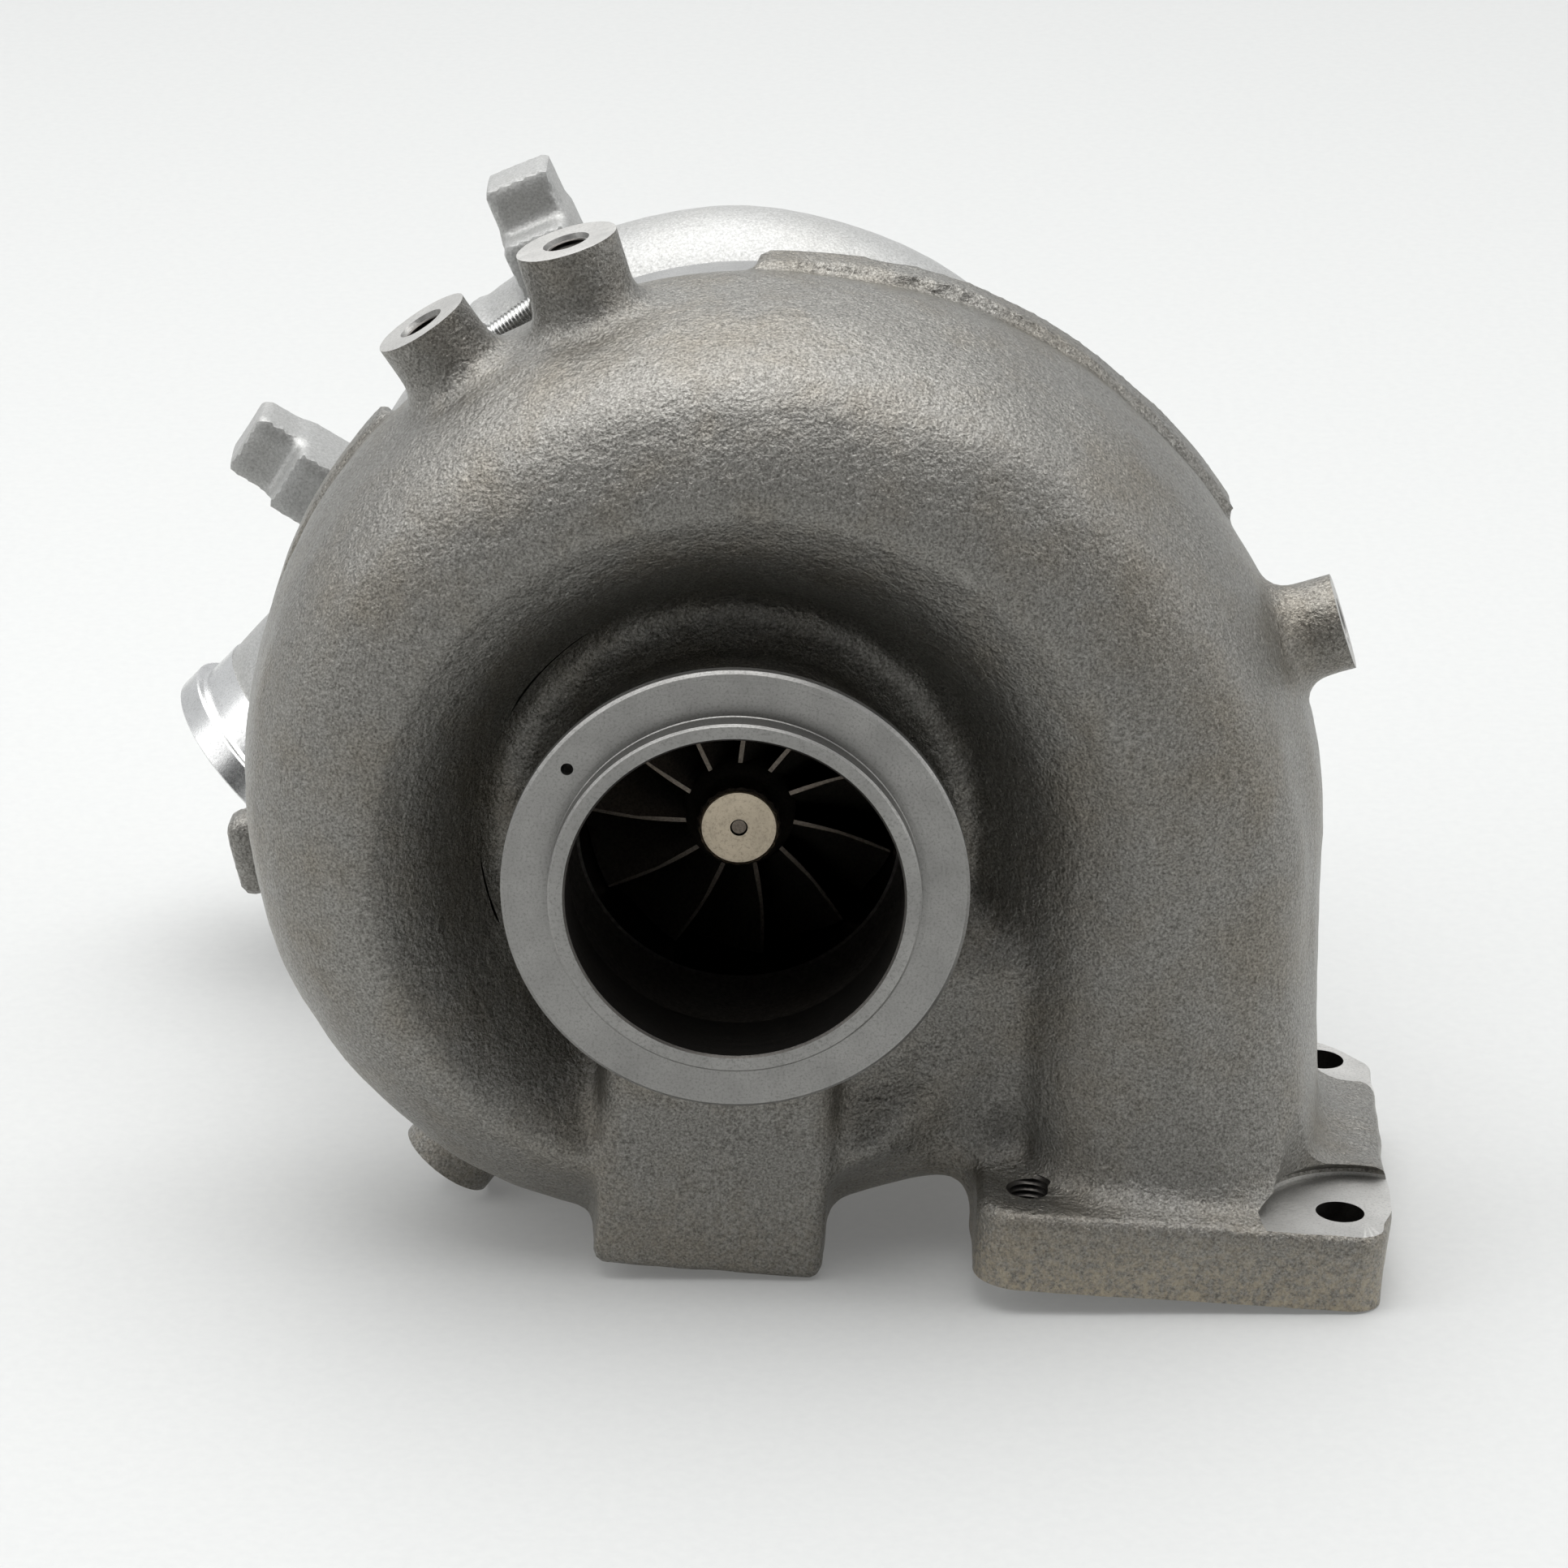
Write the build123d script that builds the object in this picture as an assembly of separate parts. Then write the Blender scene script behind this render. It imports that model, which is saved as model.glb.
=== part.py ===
from build123d import *
import math
import os

# Heavy-duty exhaust turbocharger with a divided turbine inlet, in millimetres.
# The shaft runs along +Y. The origin is on the shaft axis, in the sealing plane of the
# turbine outlet. +X is to the right seen from the outlet, +Z is up, away from the inlet flange.

# ---- turbine housing ----
OUTLET_R = 51.5            # V-band flange of the turbine outlet
OUTLET_LIP_R = 41.0
OUTLET_BORE_R = 37.2
OUTLET_LIP = 5.0           # lip in front of the sealing plane
OUTLET_RIM = 2.6           # straight part of the flange edge
LOCATING_HOLE = (-38.3, 26.1, 1.4, 6.0)   # x, z, radius, depth
SHROUD_R = 35.9
VOLUTE_BACK = 90.0
# outer radius of the volute, by angle from +X towards +Z, along the gas flow
VOLUTE_R = {0: 132.0, 30: 127.0, 60: 124.0, 90: 120.5, 120: 118.0, 150: 115.5, 180: 112.0,
            210: 109.0, 240: 103.5, 270: 97.0, 300: 92.5}
NOZZLE = (67.5, 82.0)      # stations of the annular slot that feeds the wheel
WALL = 5.5
# divided inlet flange, 69.85 x 85.7 bolt pattern
PORT_X, PORT_Y = 104.8, 49.65
BOLT_DX, BOLT_DY = 69.85, 85.7
FLANGE_X = (61.0, 150.5)
FLANGE_Y = (-8.0, 106.0)
FLANGE_Z = (-88.0, -70.0)
PORT_SIZE = (50.0, 31.0)
PORT_PITCH = 43.0
DUCT_HALF = (34.0, 50.0)
DUCT_START = 187.0         # angle of the first duct point, facing the first volute point
PASSAGE_IN = 62.0          # inner radius of the scroll passages
PASSAGE_WEB = (45.5, 52.0)     # stations of the wall between the passages
PASSAGE_BACK = 82.5
FLANGE_TAP_R, FLANGE_HOLE_R = 4.25, 5.5
# foot under the outlet
FOOT_X = (-24.5, 23.3)
FOOT_Y = (10.0, 62.0)
FOOT_BOTTOM = -97.5
# round bosses on the volute: angle, end radius, station, height, thread depth
BOSSES = ((110, 136.0, 58.0, 24, 14), (126, 132.0, 58.0, 24, 12),
          (21, 141.5, 60.0, 24, 11), (237.5, 115.5, 64.0, 22, 9))
BOSS_R, BOSS_TAP_R = 11.1, 4.25
REAR_FACE = 94.0
REAR_R = 72.0
SPIGOT_R = 54.8            # recess for the bearing housing flange
CLAMP_PCR, CLAMP_COUNT = 63.0, 8

# ---- rotor ----
WHEEL_NOSE = 38.0
WHEEL_EXDUCER_R, WHEEL_INDUCER_R = 35.4, 42.3
TURBINE_BLADES = 11
COMP_BLADES = 7            # full blades, with as many splitters
COMP_EXDUCER_R, COMP_INDUCER_R = 47.0, 33.4
COMP_BACK = 168.7
JOURNAL_R = 7.0
STUB_R = 5.0
ROTOR_GAP = 0.05

# ---- bearing housing ----
BEARING_R = 10.9           # outside of the floating bearings
BEARING_LEN = 9.0
BEARING_Y = (104.5, 132.5)
CORE_BORE_R = BEARING_R + ROTOR_GAP
DISC_R = 86.0              # compressor side disc and V-band rim
DISC_Y = (158.0, 168.0)
OIL_IN_Z, OIL_OUT_Z = 52.0, -56.0
OIL_Y = 124.0
OIL_IN_PITCH, OIL_OUT_PITCH = 30.0, 50.8
INSERT_R = 36.0

# ---- compressor cover ----
SCROLL_START, SCROLL_END = 180, 500
SCROLL_BACK = 180.0        # turbine-side face of the scroll, clear of the clamp
COVER_WALL = 4.5
COVER_INLET_R = 50.8
COVER_END = 272.0
INLET_BORE_R = 45.5
DIFFUSER_FRONT = 175.4
DISCHARGE_ANGLE = 230.0
DISCHARGE_N = 48.0         # distance of the discharge axis from the shaft axis
DISCHARGE_END = 121.5
DISCHARGE_CAST = 109.0     # where the machined spigot starts
DISCHARGE_R, DISCHARGE_BORE_R = 30.0, 26.0
BEAD_R, BEAD_LENGTH = 32.5, 7.0     # rim at the end of the discharge
# stepped lugs on the cover: x, z, direction of the lug
LUGS = ((-53.2, 80.9, 117.0), (-105.5, 20.3, 152.0))
LUG_HALF, LUG_ROOT, LUG_STEP, LUG_TIP = 7.4, -32.0, 10.0, 22.0
LUG_FOOT, LUG_LEDGE, LUG_BACK = 180.5, 190.0, 206.0

# ---- V-band clamp ----
BAND_R = DISC_R + 0.4
BAND_GAP = 9.0
BAND_TOP = 130.0           # angle of the first clamp bolt
BAND_MID = (DISC_Y[0] + DISC_Y[1]) / 2 + 3


def turned(points):
    """Solid of revolution about the shaft from (radius, station) corners."""
    return revolve(make_face(Polyline(*points, close=True)), axis=Axis.Y)


def tube(r_out, r_in, y0, y1):
    return turned([(r_in, y0), (r_out, y0), (r_out, y1), (r_in, y1)])


def rod(r, y0, y1):
    return turned([(0, y0), (r, y0), (r, y1), (0, y1)])


def shaft_plane(angle):
    """Plane through the shaft: local x is radial, local y is along the shaft."""
    a = math.radians(angle)
    return Plane(origin=(0, 0, 0), x_dir=(math.cos(a), 0, math.sin(a)),
                 z_dir=(-math.sin(a), 0, math.cos(a)))


def polar(r, angle, y=0.0):
    a = math.radians(angle)
    return (r * math.cos(a), y, r * math.sin(a))


def cylinder(start, direction, r, length):
    """Cylinder from a start point along a direction."""
    return extrude(Plane(origin=start, z_dir=direction) * Circle(r), length)


def hexagon_prism(start, direction, across, length):
    outline = RegularPolygon(across / 2, 6, major_radius=False)
    return extrude(Plane(origin=start, z_dir=direction) * outline, length)


def between(x0, x1, y0, y1, z0, z1):
    """Box between two corners."""
    return Pos((x0 + x1) / 2, (y0 + y1) / 2, (z0 + z1) / 2) * Box(x1 - x0, y1 - y0, z1 - z0)


def around(shape, count, offset=0.0):
    return [Rot(0, offset + k * 360 / count, 0) * shape for k in range(count)]


def closed_curve(plane, points):
    return make_face(plane * Spline(*points, periodic=True))


# ------------------------------------------------------------------ turbine housing
def volute_front(ro):
    """Station of the front crest, nearer the outlet where the volute is larger."""
    return 15 - 11 * (ro - VOLUTE_R[300]) / (VOLUTE_R[0] - VOLUTE_R[300])


def volute_outer(ro):
    """Outer outline of the volute at one angle, as (radius, station)."""
    front = volute_front(ro)
    crest = 0.5 * (60 + ro) - 1
    return [(50, 36), (58, front + 14), (66, front + 4), (crest, front), (ro - 12, front + 9),
            (ro - 3, 34), (ro, 54), (ro - 3, 74), (ro - 12, VOLUTE_BACK - 3),
            (crest, VOLUTE_BACK), (62, VOLUTE_BACK), (50, 76)]


def outer_duct_section(z, count):
    """Rounded rectangle round both ports, with as many points as the volute outline."""
    points = []
    for k in range(count):
        a = math.radians(DUCT_START + 360 * k / count)
        c, s = math.cos(a), math.sin(a)
        points.append((PORT_X + DUCT_HALF[0] * math.copysign(abs(c) ** 0.5, c),
                       PORT_Y + DUCT_HALF[1] * math.copysign(abs(s) ** 0.5, s)))
    return closed_curve(Plane.XY.offset(z), points)


def volute_body():
    """Outside of the volute and of the inlet duct below it."""
    sections = [closed_curve(shaft_plane(angle), volute_outer(ro)) for angle, ro in VOLUTE_R.items()]
    count = len(volute_outer(VOLUTE_R[0]))
    return loft(sections) + loft([outer_duct_section(FLANGE_Z[1] - 4, count), sections[0]], ruled=True)


def gas_passage(front):
    """One of the two scroll passages, from its port in the flange to the tongue."""
    sections = []
    for angle, ro in VOLUTE_R.items():
        low = volute_front(ro) + 2 * WALL if front else PASSAGE_WEB[1]
        high = PASSAGE_WEB[0] if front else PASSAGE_BACK
        width = ro - 1.6 * WALL - PASSAGE_IN
        middle = Pos(PASSAGE_IN + width / 2, (low + high) / 2)
        corner = 0.48 * min(width, high - low)
        sections.append(shaft_plane(angle) * middle * RectangleRounded(width, high - low, corner))
    port_y = PORT_Y + (-PORT_PITCH / 2 if front else PORT_PITCH / 2)
    port = Plane.XY.offset(FLANGE_Z[0] - 2) * Pos(PORT_X, port_y) * RectangleRounded(*PORT_SIZE, 8)
    return loft(sections) + loft([port, sections[0]], ruled=True)


def turbine_core():
    """Turned middle of the housing: outlet flange, outlet tube, hub and rear face."""
    return turned([(OUTLET_BORE_R - 2, -OUTLET_LIP), (OUTLET_LIP_R - 0.6, -OUTLET_LIP),
                   (OUTLET_LIP_R, -OUTLET_LIP + 0.6), (OUTLET_LIP_R, 0), (OUTLET_R, 0),
                   (OUTLET_R, OUTLET_RIM), (45.5, 8.5), (45.0, 30), (52, 40), (58, 60), (64, 84),
                   (REAR_R, 86), (REAR_R, REAR_FACE), (OUTLET_BORE_R - 2, REAR_FACE)])


def turbine_hollow():
    """Gas path on the axis: outlet bore, wheel shroud, nozzle slot and rear recess."""
    return turned([(0, -10), (OUTLET_BORE_R, -10), (OUTLET_BORE_R, 15), (38.6, 17), (38.6, 32),
                   (SHROUD_R, 38), (SHROUD_R, 56), (37.4, 61), (41, 65.5),
                   (46, NOZZLE[0]), (64, NOZZLE[0]), (64, NOZZLE[1]),
                   (50.5, NOZZLE[1]), (50.5, 86), (SPIGOT_R, 86), (SPIGOT_R, 120), (0, 120)])


def turbine_foot():
    foot = between(*FOOT_X, *FOOT_Y, FOOT_BOTTOM, -38)
    return fillet(foot.edges().filter_by(Axis.Z), 5.0)


def inlet_flange():
    plate = between(*FLANGE_X, *FLANGE_Y, *FLANGE_Z)
    corners = plate.edges().filter_by(Axis.Z).sort_by(Axis.Y)
    plate = fillet(corners[:2], 6.0)
    return fillet(plate.edges().filter_by(Axis.Z).sort_by(Axis.Y)[-2:], 13.0)


def rear_tab():
    """Cast tab at the rear of the volute."""
    return Rot(0, -197, 0) * between(98, 125, 83, 94, -10, 9)


def turbine_housing():
    body = volute_body() + turbine_core()
    body += inlet_flange()
    body += turbine_foot()
    body += rear_tab()
    for angle, r_end, y, height, depth in BOSSES:
        body += cylinder(polar(r_end - height, angle, y), polar(1, angle), BOSS_R, height - depth)
    body -= turbine_hollow()
    body -= gas_passage(front=True)
    body -= gas_passage(front=False)
    body -= turned([(61, 34), (67, 34), (67, 48), (60, 68.5), (53, 68.5)])
    for sx in (-1, 1):
        for sy in (-1, 1):
            x, y = PORT_X + sx * BOLT_DX / 2, PORT_Y + sy * BOLT_DY / 2
            r = FLANGE_HOLE_R if sx > 0 else FLANGE_TAP_R
            body -= cylinder((x, y, FLANGE_Z[0] - 1), (0, 0, 1), r, 21)
            if sx > 0:
                body -= cylinder((x, y, FLANGE_Z[1]), (0, 0, 1), 12.5, 16)
    x, z, r, depth = LOCATING_HOLE
    body -= cylinder((x, -1, z), (0, 1, 0), r, depth + 1)
    tap = cylinder((CLAMP_PCR, REAR_FACE + 1, 0), (0, -1, 0), 4.0, 19)
    for hole in around(tap, CLAMP_COUNT, 22.5):
        body -= hole
    return body


def threaded_bosses():
    """Outer ends of the four cast bosses, each round its threaded hole."""
    ends = []
    for angle, r_end, y, _, depth in BOSSES:
        foot, out = polar(r_end - depth, angle, y), polar(1, angle)
        ends.append(cylinder(foot, out, BOSS_R, depth) - cylinder(foot, out, BOSS_TAP_R, depth))
    return Compound(children=ends)


# ------------------------------------------------------------------ rotor
def blade(stations, r_in, r_out, thick_in, thick_out):
    """Thin blade that twists along the shaft. Stations are (y, turn in degrees)."""
    sections = []
    for y, turn in stations:
        plane = Plane(origin=(0, y, 0), x_dir=polar(1, turn), z_dir=(0, 1, 0))
        corners = [(r_in, -thick_in), (r_out, -thick_out), (r_out, thick_out), (r_in, thick_in)]
        sections.append(make_face(plane * Polyline(*corners, close=True)))
    return loft(sections)


def turbine_wheel():
    hub = turned([(0, WHEEL_NOSE), (8.6, WHEEL_NOSE), (9.5, 39), (9.6, 50), (10.6, 58), (13, 66), (18, 74.5),
                  (26, 80.5), (34, 83.4), (40, 84.3), (40, 86), (12, 87.5), (12, 89), (0, 89)])
    hub -= cylinder((0, WHEEL_NOSE - 1, 0), (0, 1, 0), 1.8, 6)
    envelope = turned([(8, 45.5), (WHEEL_EXDUCER_R, 49.5), (WHEEL_EXDUCER_R, 56.5), (36.9, 61.5), (40.4, 66),
                       (WHEEL_INDUCER_R, 68), (WHEEL_INDUCER_R, 84.6), (40, 86), (8, 86)])
    stations = [(45, 46), (50, 32.5), (55, 20), (60, 10), (66, 3), (73, 0), (87, 0)]
    one = blade(stations, 5.0, 46.0, 1.1, 0.55) & envelope
    wheel = hub
    for piece in around(one, TURBINE_BLADES, -5):
        wheel += piece
    return wheel


def rotor_shaft():
    """Shaft from the turbine wheel to the compressor nut, with two seal grooves and journals."""
    return turned([(0, 89), (11, 89), (11, 93.5), (9.2, 93.5), (9.2, 96), (11, 96), (11, 99.5),
                   (JOURNAL_R, 100.5), (JOURNAL_R, 114.5), (6.4, 115.5), (6.4, 130.5),
                   (JOURNAL_R, 131.5), (JOURNAL_R, 146), (STUB_R, 146), (STUB_R, 223.4),
                   (STUB_R - 0.6, 224), (0, 224)])


def compressor_wheel():
    back = COMP_BACK
    hub = turned([(STUB_R, back - 1.2), (14, back - 1.2), (15, back), (COMP_EXDUCER_R, back),
                  (COMP_EXDUCER_R, back + 1.4), (36, back + 3), (26, back + 8), (18, back + 17),
                  (13, back + 29), (11, back + 40), (10.4, back + 44), (STUB_R, back + 44)])
    shroud = [(9, back + 38), (COMP_INDUCER_R, back + 36), (COMP_INDUCER_R, back + 22), (35, back + 15),
              (38.6, back + 9.6), (COMP_EXDUCER_R - 0.1, back + 6.3), (COMP_EXDUCER_R - 0.1, back + 0.6),
              (9, back + 0.6)]
    stations = [(back + 0.3, 100), (back + 6, 104), (back + 12, 111), (back + 19, 122), (back + 27, 138),
                (back + 41, 167)]
    full = blade(stations, 7.0, 50.0, 0.9, 0.4) & turned(shroud)
    short_shroud = [(11, back + 24), (COMP_INDUCER_R, back + 23)] + shroud[2:]
    splitter = blade(stations, 7.0, 50.0, 0.9, 0.4) & turned(short_shroud)
    wheel = hub
    for piece in around(full, COMP_BLADES):
        wheel += piece
    for piece in around(splitter, COMP_BLADES, 180 / COMP_BLADES):
        wheel += piece
    return wheel


def compressor_nut():
    y = COMP_BACK + 44
    nut = hexagon_prism((0, y, 0), (0, 1, 0), 17, 8.5) + rod(9.8, y, y + 1.5)
    return nut - rod(STUB_R, y - 1, y + 12)


def thrust_collar():
    return turned([(STUB_R, 146), (9, 146), (9, 152.6), (14, 152.6), (14, 155), (STUB_R, 155)])


def oil_slinger():
    """Oil flinger with the groove of the compressor end seal ring."""
    return turned([(STUB_R, 155), (17, 155), (17, 157), (11.5, 158.5), (11.5, 161.5), (9.7, 161.5),
                   (9.7, 164), (11.5, 164), (11.5, COMP_BACK - 1.2), (STUB_R, COMP_BACK - 1.2)])


# ------------------------------------------------------------------ bearing housing and its pieces
def bearing_housing():
    """Iron housing with the oil feed on top and the oil drain below."""
    body = turned([(11.5, 92), (50, 92), (50, 88), (54.5, 88), (54.5, 96), (47.5, 96), (44, 101), (37, 108),
                   (35, 124), (37, 142), (44, 151), (60, 156), (DISC_R - 7, DISC_Y[0]),
                   (DISC_R, DISC_Y[0] + 2.6), (DISC_R, DISC_Y[1]), (11.5, DISC_Y[1])])
    body += between(-21, 21, OIL_Y - 15, OIL_Y + 15, 15, OIL_IN_Z)
    body += between(-34, 34, OIL_Y - 16.5, OIL_Y + 20, OIL_OUT_Z, -15)
    # cored oil gallery around the bearing carrier, open to the drain
    cavity = turned([(17, 103), (30, 103), (26, 110), (26, 138), (32, 146), (32, 150), (17, 150)])
    body -= cavity & between(-60, 60, 90, 165, -60, 14)
    body -= turned([(0, 80), (11.4, 80), (11.4, 100.2), (CORE_BORE_R, 100.2), (CORE_BORE_R, 145), (22, 145),
                    (22, 152), (INSERT_R, 156), (INSERT_R, 180), (0, 180)])
    body -= tube(INSERT_R + 1.2, 20, 166.2, 167.6)
    body -= tube(80.6, 77, 165.6, 170)
    body -= cylinder((0, OIL_Y, OIL_OUT_Z - 1), (0, 0, 1), 13.0, 40)
    body -= cylinder((0, OIL_Y, OIL_IN_Z + 1), (0, 0, -1), 6.0, 20)
    body -= cylinder((0, OIL_Y, OIL_IN_Z - 10), (0, 0, -1), 2.5, OIL_IN_Z - 12)
    for sx in (-1, 1):
        body -= cylinder((sx * OIL_IN_PITCH / 2, OIL_Y, OIL_IN_Z + 1), (0, 0, -1), 3.4, 17)
        body -= cylinder((sx * OIL_OUT_PITCH / 2, OIL_Y, OIL_OUT_Z - 1), (0, 0, 1), 4.25, 18)
    for y in BEARING_Y:
        for edge in (y - 1.9, y + BEARING_LEN + 0.3):
            body -= tube(12.2, 9, edge, edge + 1.6)
    for pin in thrust_pins().solids():
        body -= pin
    return body


def floating_bearing(y):
    """Free-floating journal bearing with oil holes."""
    ring = tube(BEARING_R, JOURNAL_R + ROTOR_GAP, y, y + BEARING_LEN)
    hole = cylinder((0, y + BEARING_LEN / 2, 0), (1, 0, 0), 1.2, 15)
    for piece in around(hole, 6):
        ring -= piece
    return ring


def snap_ring(y, r_out, r_in, thick, gap):
    """Open retaining ring in the plane y."""
    ring = tube(r_out, r_in, y, y + thick)
    return ring - between(-gap / 2, gap / 2, y - 1, y + thick + 1, 0, r_out + 1)


def bearing_snap_rings():
    rings = []
    for y in BEARING_Y:
        for edge in (y - 1.8, y + BEARING_LEN + 0.4):
            rings.append(snap_ring(edge, 12.15, 8.4, 1.4, 5.0))
    return Compound(children=rings)


def thrust_bearing():
    """Bronze thrust plate between the thrust collar and the oil flinger."""
    plate = tube(21.9, 9.3, 146.5, 152.2) - between(-30, 30, 140, 160, -30, -17)
    for x in (-15.5, 15.5):
        plate -= cylinder((x, 140, 0), (0, 1, 0), 1.6, 20)
    return plate


def thrust_pins():
    """Pins that stop the thrust plate from turning."""
    return Compound(children=[cylinder((x, 141, 0), (0, 1, 0), 1.6, 10.8) for x in (-15.5, 15.5)])


def oil_baffle():
    """Pressed baffle that keeps oil off the compressor end seal."""
    return turned([(18, 155.6), (INSERT_R - 0.3, 156.6), (INSERT_R - 0.3, 157.6), (18, 156.6)]) - between(
        -40, 40, 150, 160, -40, -22)


def seal_insert():
    """Seal plate pressed into the compressor side of the bearing housing."""
    body = turned([(11.9, 159), (24, 159), (26, 157.8), (INSERT_R - 0.1, 157.8), (INSERT_R - 0.1, 165.9),
                   (32, 165.9), (30, 167.2), (11.9, 167.2)])
    return body - tube(INSERT_R + 1, INSERT_R - 2.4, 160.4, 163.6)


def compressor_cover():
    """Aluminium cover: scroll, inlet spigot, tangential discharge and two stepped lugs."""
    cover = scroll(COVER_WALL)
    cover += turned([(30, DISC_Y[1]), (DISC_R, DISC_Y[1]), (DISC_R, DISC_Y[1] + 3.4),
                     (DISC_R - 7, DISC_Y[1] + 6), (72, 178), (70, 190), (60, 214), (57, 226),
                     (COVER_INLET_R - 1, 236),
                     (COVER_INLET_R - 1, COVER_END - 7), (COVER_INLET_R, COVER_END - 6),
                     (COVER_INLET_R, COVER_END - 2), (COVER_INLET_R - 1, COVER_END), (30, COVER_END)])
    for x, z, angle in LUGS:
        cover += stepped_lug(x, z, angle)
    cover -= scroll(0)
    cover -= turned([(0, 160), (68, 160), (68, 190), (60, 190), (58, DIFFUSER_FRONT),
                     (COMP_EXDUCER_R + 1, DIFFUSER_FRONT), (39, 179), (35.4, 184.4),
                     (COMP_INDUCER_R + 0.5, 191), (COMP_INDUCER_R + 0.5, 208), (36, 214),
                     (INLET_BORE_R, 246), (INLET_BORE_R, 290), (0, 290)])
    return cover


def scroll_at(angle, extra):
    """Centre radius, station and radius of the scroll section at an angle."""
    share = (angle - SCROLL_START) / (SCROLL_END - SCROLL_START)
    r = 9.0 + 15.0 * share
    return 63.5 + 3.5 * share, SCROLL_BACK + COVER_WALL + r, r + extra


def scroll(extra):
    """Growing scroll with its tangential discharge, enlarged by the wall."""
    rings = []
    for k in range(17):
        angle = SCROLL_START + 20 * k
        centre, y, r = scroll_at(angle, extra)
        rings.append(shaft_plane(angle) * Pos(centre, y) * Circle(r))
    centre, y, r = scroll_at(SCROLL_END, extra)
    end_r = (DISCHARGE_BORE_R if extra == 0 else DISCHARGE_R - 0.6)
    along = polar(1, DISCHARGE_ANGLE)
    side = polar(1, DISCHARGE_ANGLE - 90)
    pipe = []
    for run, n, radius in ((0, centre, r), (26, centre - 2.2, r * 0.9 + end_r * 0.1),
                           (78, DISCHARGE_N + 2.2, r * 0.3 + end_r * 0.7),
                           (DISCHARGE_CAST, DISCHARGE_N, end_r)):
        at = (side[0] * n + along[0] * run, y, side[2] * n + along[2] * run)
        pipe.append(Plane(origin=at, z_dir=along) * Circle(radius))
    end = pipe_point(DISCHARGE_CAST, y)
    if extra:
        spigot = cylinder(end, along, DISCHARGE_R, DISCHARGE_END - DISCHARGE_CAST)
        spigot += cylinder(pipe_point(DISCHARGE_END - BEAD_LENGTH, y), along, BEAD_R, BEAD_LENGTH)
    else:
        spigot = cylinder(pipe_point(DISCHARGE_CAST - 1, y), along, DISCHARGE_BORE_R, 30)
    return loft(rings) + loft(pipe) + spigot


def pipe_point(run, y):
    """Point on the discharge axis."""
    along = polar(1, DISCHARGE_ANGLE)
    side = polar(1, DISCHARGE_ANGLE - 90)
    return (side[0] * DISCHARGE_N + along[0] * run, y, side[2] * DISCHARGE_N + along[2] * run)


def stepped_lug(x, z, angle):
    """Lug with a ledge towards the turbine; its outer block stands back."""
    lug = between(LUG_ROOT, LUG_TIP, LUG_LEDGE, LUG_BACK, -LUG_HALF, LUG_HALF)
    lug += between(LUG_ROOT, LUG_STEP, LUG_FOOT, LUG_BACK, -LUG_HALF, LUG_HALF)
    lug = fillet(lug.edges().filter_by(Axis.Y), 2.0)
    return Pos(x, 0, z) * Rot(0, -angle, 0) * lug


# ------------------------------------------------------------------ rings, clamps and fasteners
def heat_shield():
    """Pressed steel shield behind the turbine wheel."""
    return turned([(13, 90.0), (24, 87.6), (54.3, 86.3), (54.3, 87.6), (50, 87.75), (24.5, 88.9),
                   (13, 91.3)])


def clamp_plates():
    """Two half rings that hold the bearing housing flange."""
    ring = tube(REAR_R - 1, 48.5, 96, 100)
    for hole in around(cylinder((CLAMP_PCR, 90, 0), (0, 1, 0), 4.4, 15), CLAMP_COUNT, 22.5):
        ring -= hole
    upper = ring & between(-80, 80, 90, 110, 1, 80)
    lower = ring & between(-80, 80, 90, 110, -80, -1)
    return Compound(children=[upper, lower])


def clamp_bolts():
    """M8 hexagon bolts through the clamp plates."""
    bolt = hexagon_prism((CLAMP_PCR, 100, 0), (0, 1, 0), 13, 6)
    bolt += cylinder((CLAMP_PCR, 80, 0), (0, 1, 0), 4.0, 20)
    return Compound(children=around(bolt, CLAMP_COUNT, 22.5))


def ring_seal(r_mid, y, wire):
    """O-ring."""
    return revolve(Plane.XY * Pos(r_mid, y) * Circle(wire), axis=Axis.Y)


def piston_ring(y, r_out, r_in):
    ring = tube(r_out, r_in, y, y + 1.9)
    return ring - between(0, 20, y - 1, y + 3, -0.3, 0.3)


def v_band_ring():
    low, high = DISC_Y[0], DISC_Y[1] + 6
    inner = DISC_R - 3.6
    return turned([(inner, low - 2.4), (BAND_R + 4, low - 2.4), (BAND_R + 4, high + 2.4),
                   (inner, high + 2.4), (inner, high - 1.0), (BAND_R, high - 2.4), (BAND_R, low + 2.4),
                   (inner, low + 1.0)])


def v_band_half(side):
    """Half of the V-band clamp, with its two turned-out ears; side is +1 or -1."""
    z0, z1 = sorted((side * BAND_GAP / 2, side * 200))
    half = v_band_ring() & between(-120, 120, 140, 190, z0, z1)
    z0, z1 = sorted((side * BAND_GAP / 2, side * (BAND_GAP / 2 + 5)))
    ear = between(BAND_R + 3, BAND_R + 15, BAND_MID - 7, BAND_MID + 7, z0, z1)
    ear -= cylinder((BAND_R + 9, BAND_MID, -20), (0, 0, 1), 3.3, 40)
    return Rot(0, -BAND_TOP, 0) * (half + ear + mirror(ear, Plane.YZ))


def v_band_bolt(turn):
    """Clamp bolt across the gap of the band, with a plain head."""
    bolt = cylinder((BAND_R + 9, BAND_MID, -22), (0, 0, 1), 3.0, 45)
    bolt += cylinder((BAND_R + 9, BAND_MID, -BAND_GAP / 2 - 10), (0, 0, 1), 5.4, 5)
    return Rot(0, -BAND_TOP - turn, 0) * bolt


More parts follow.
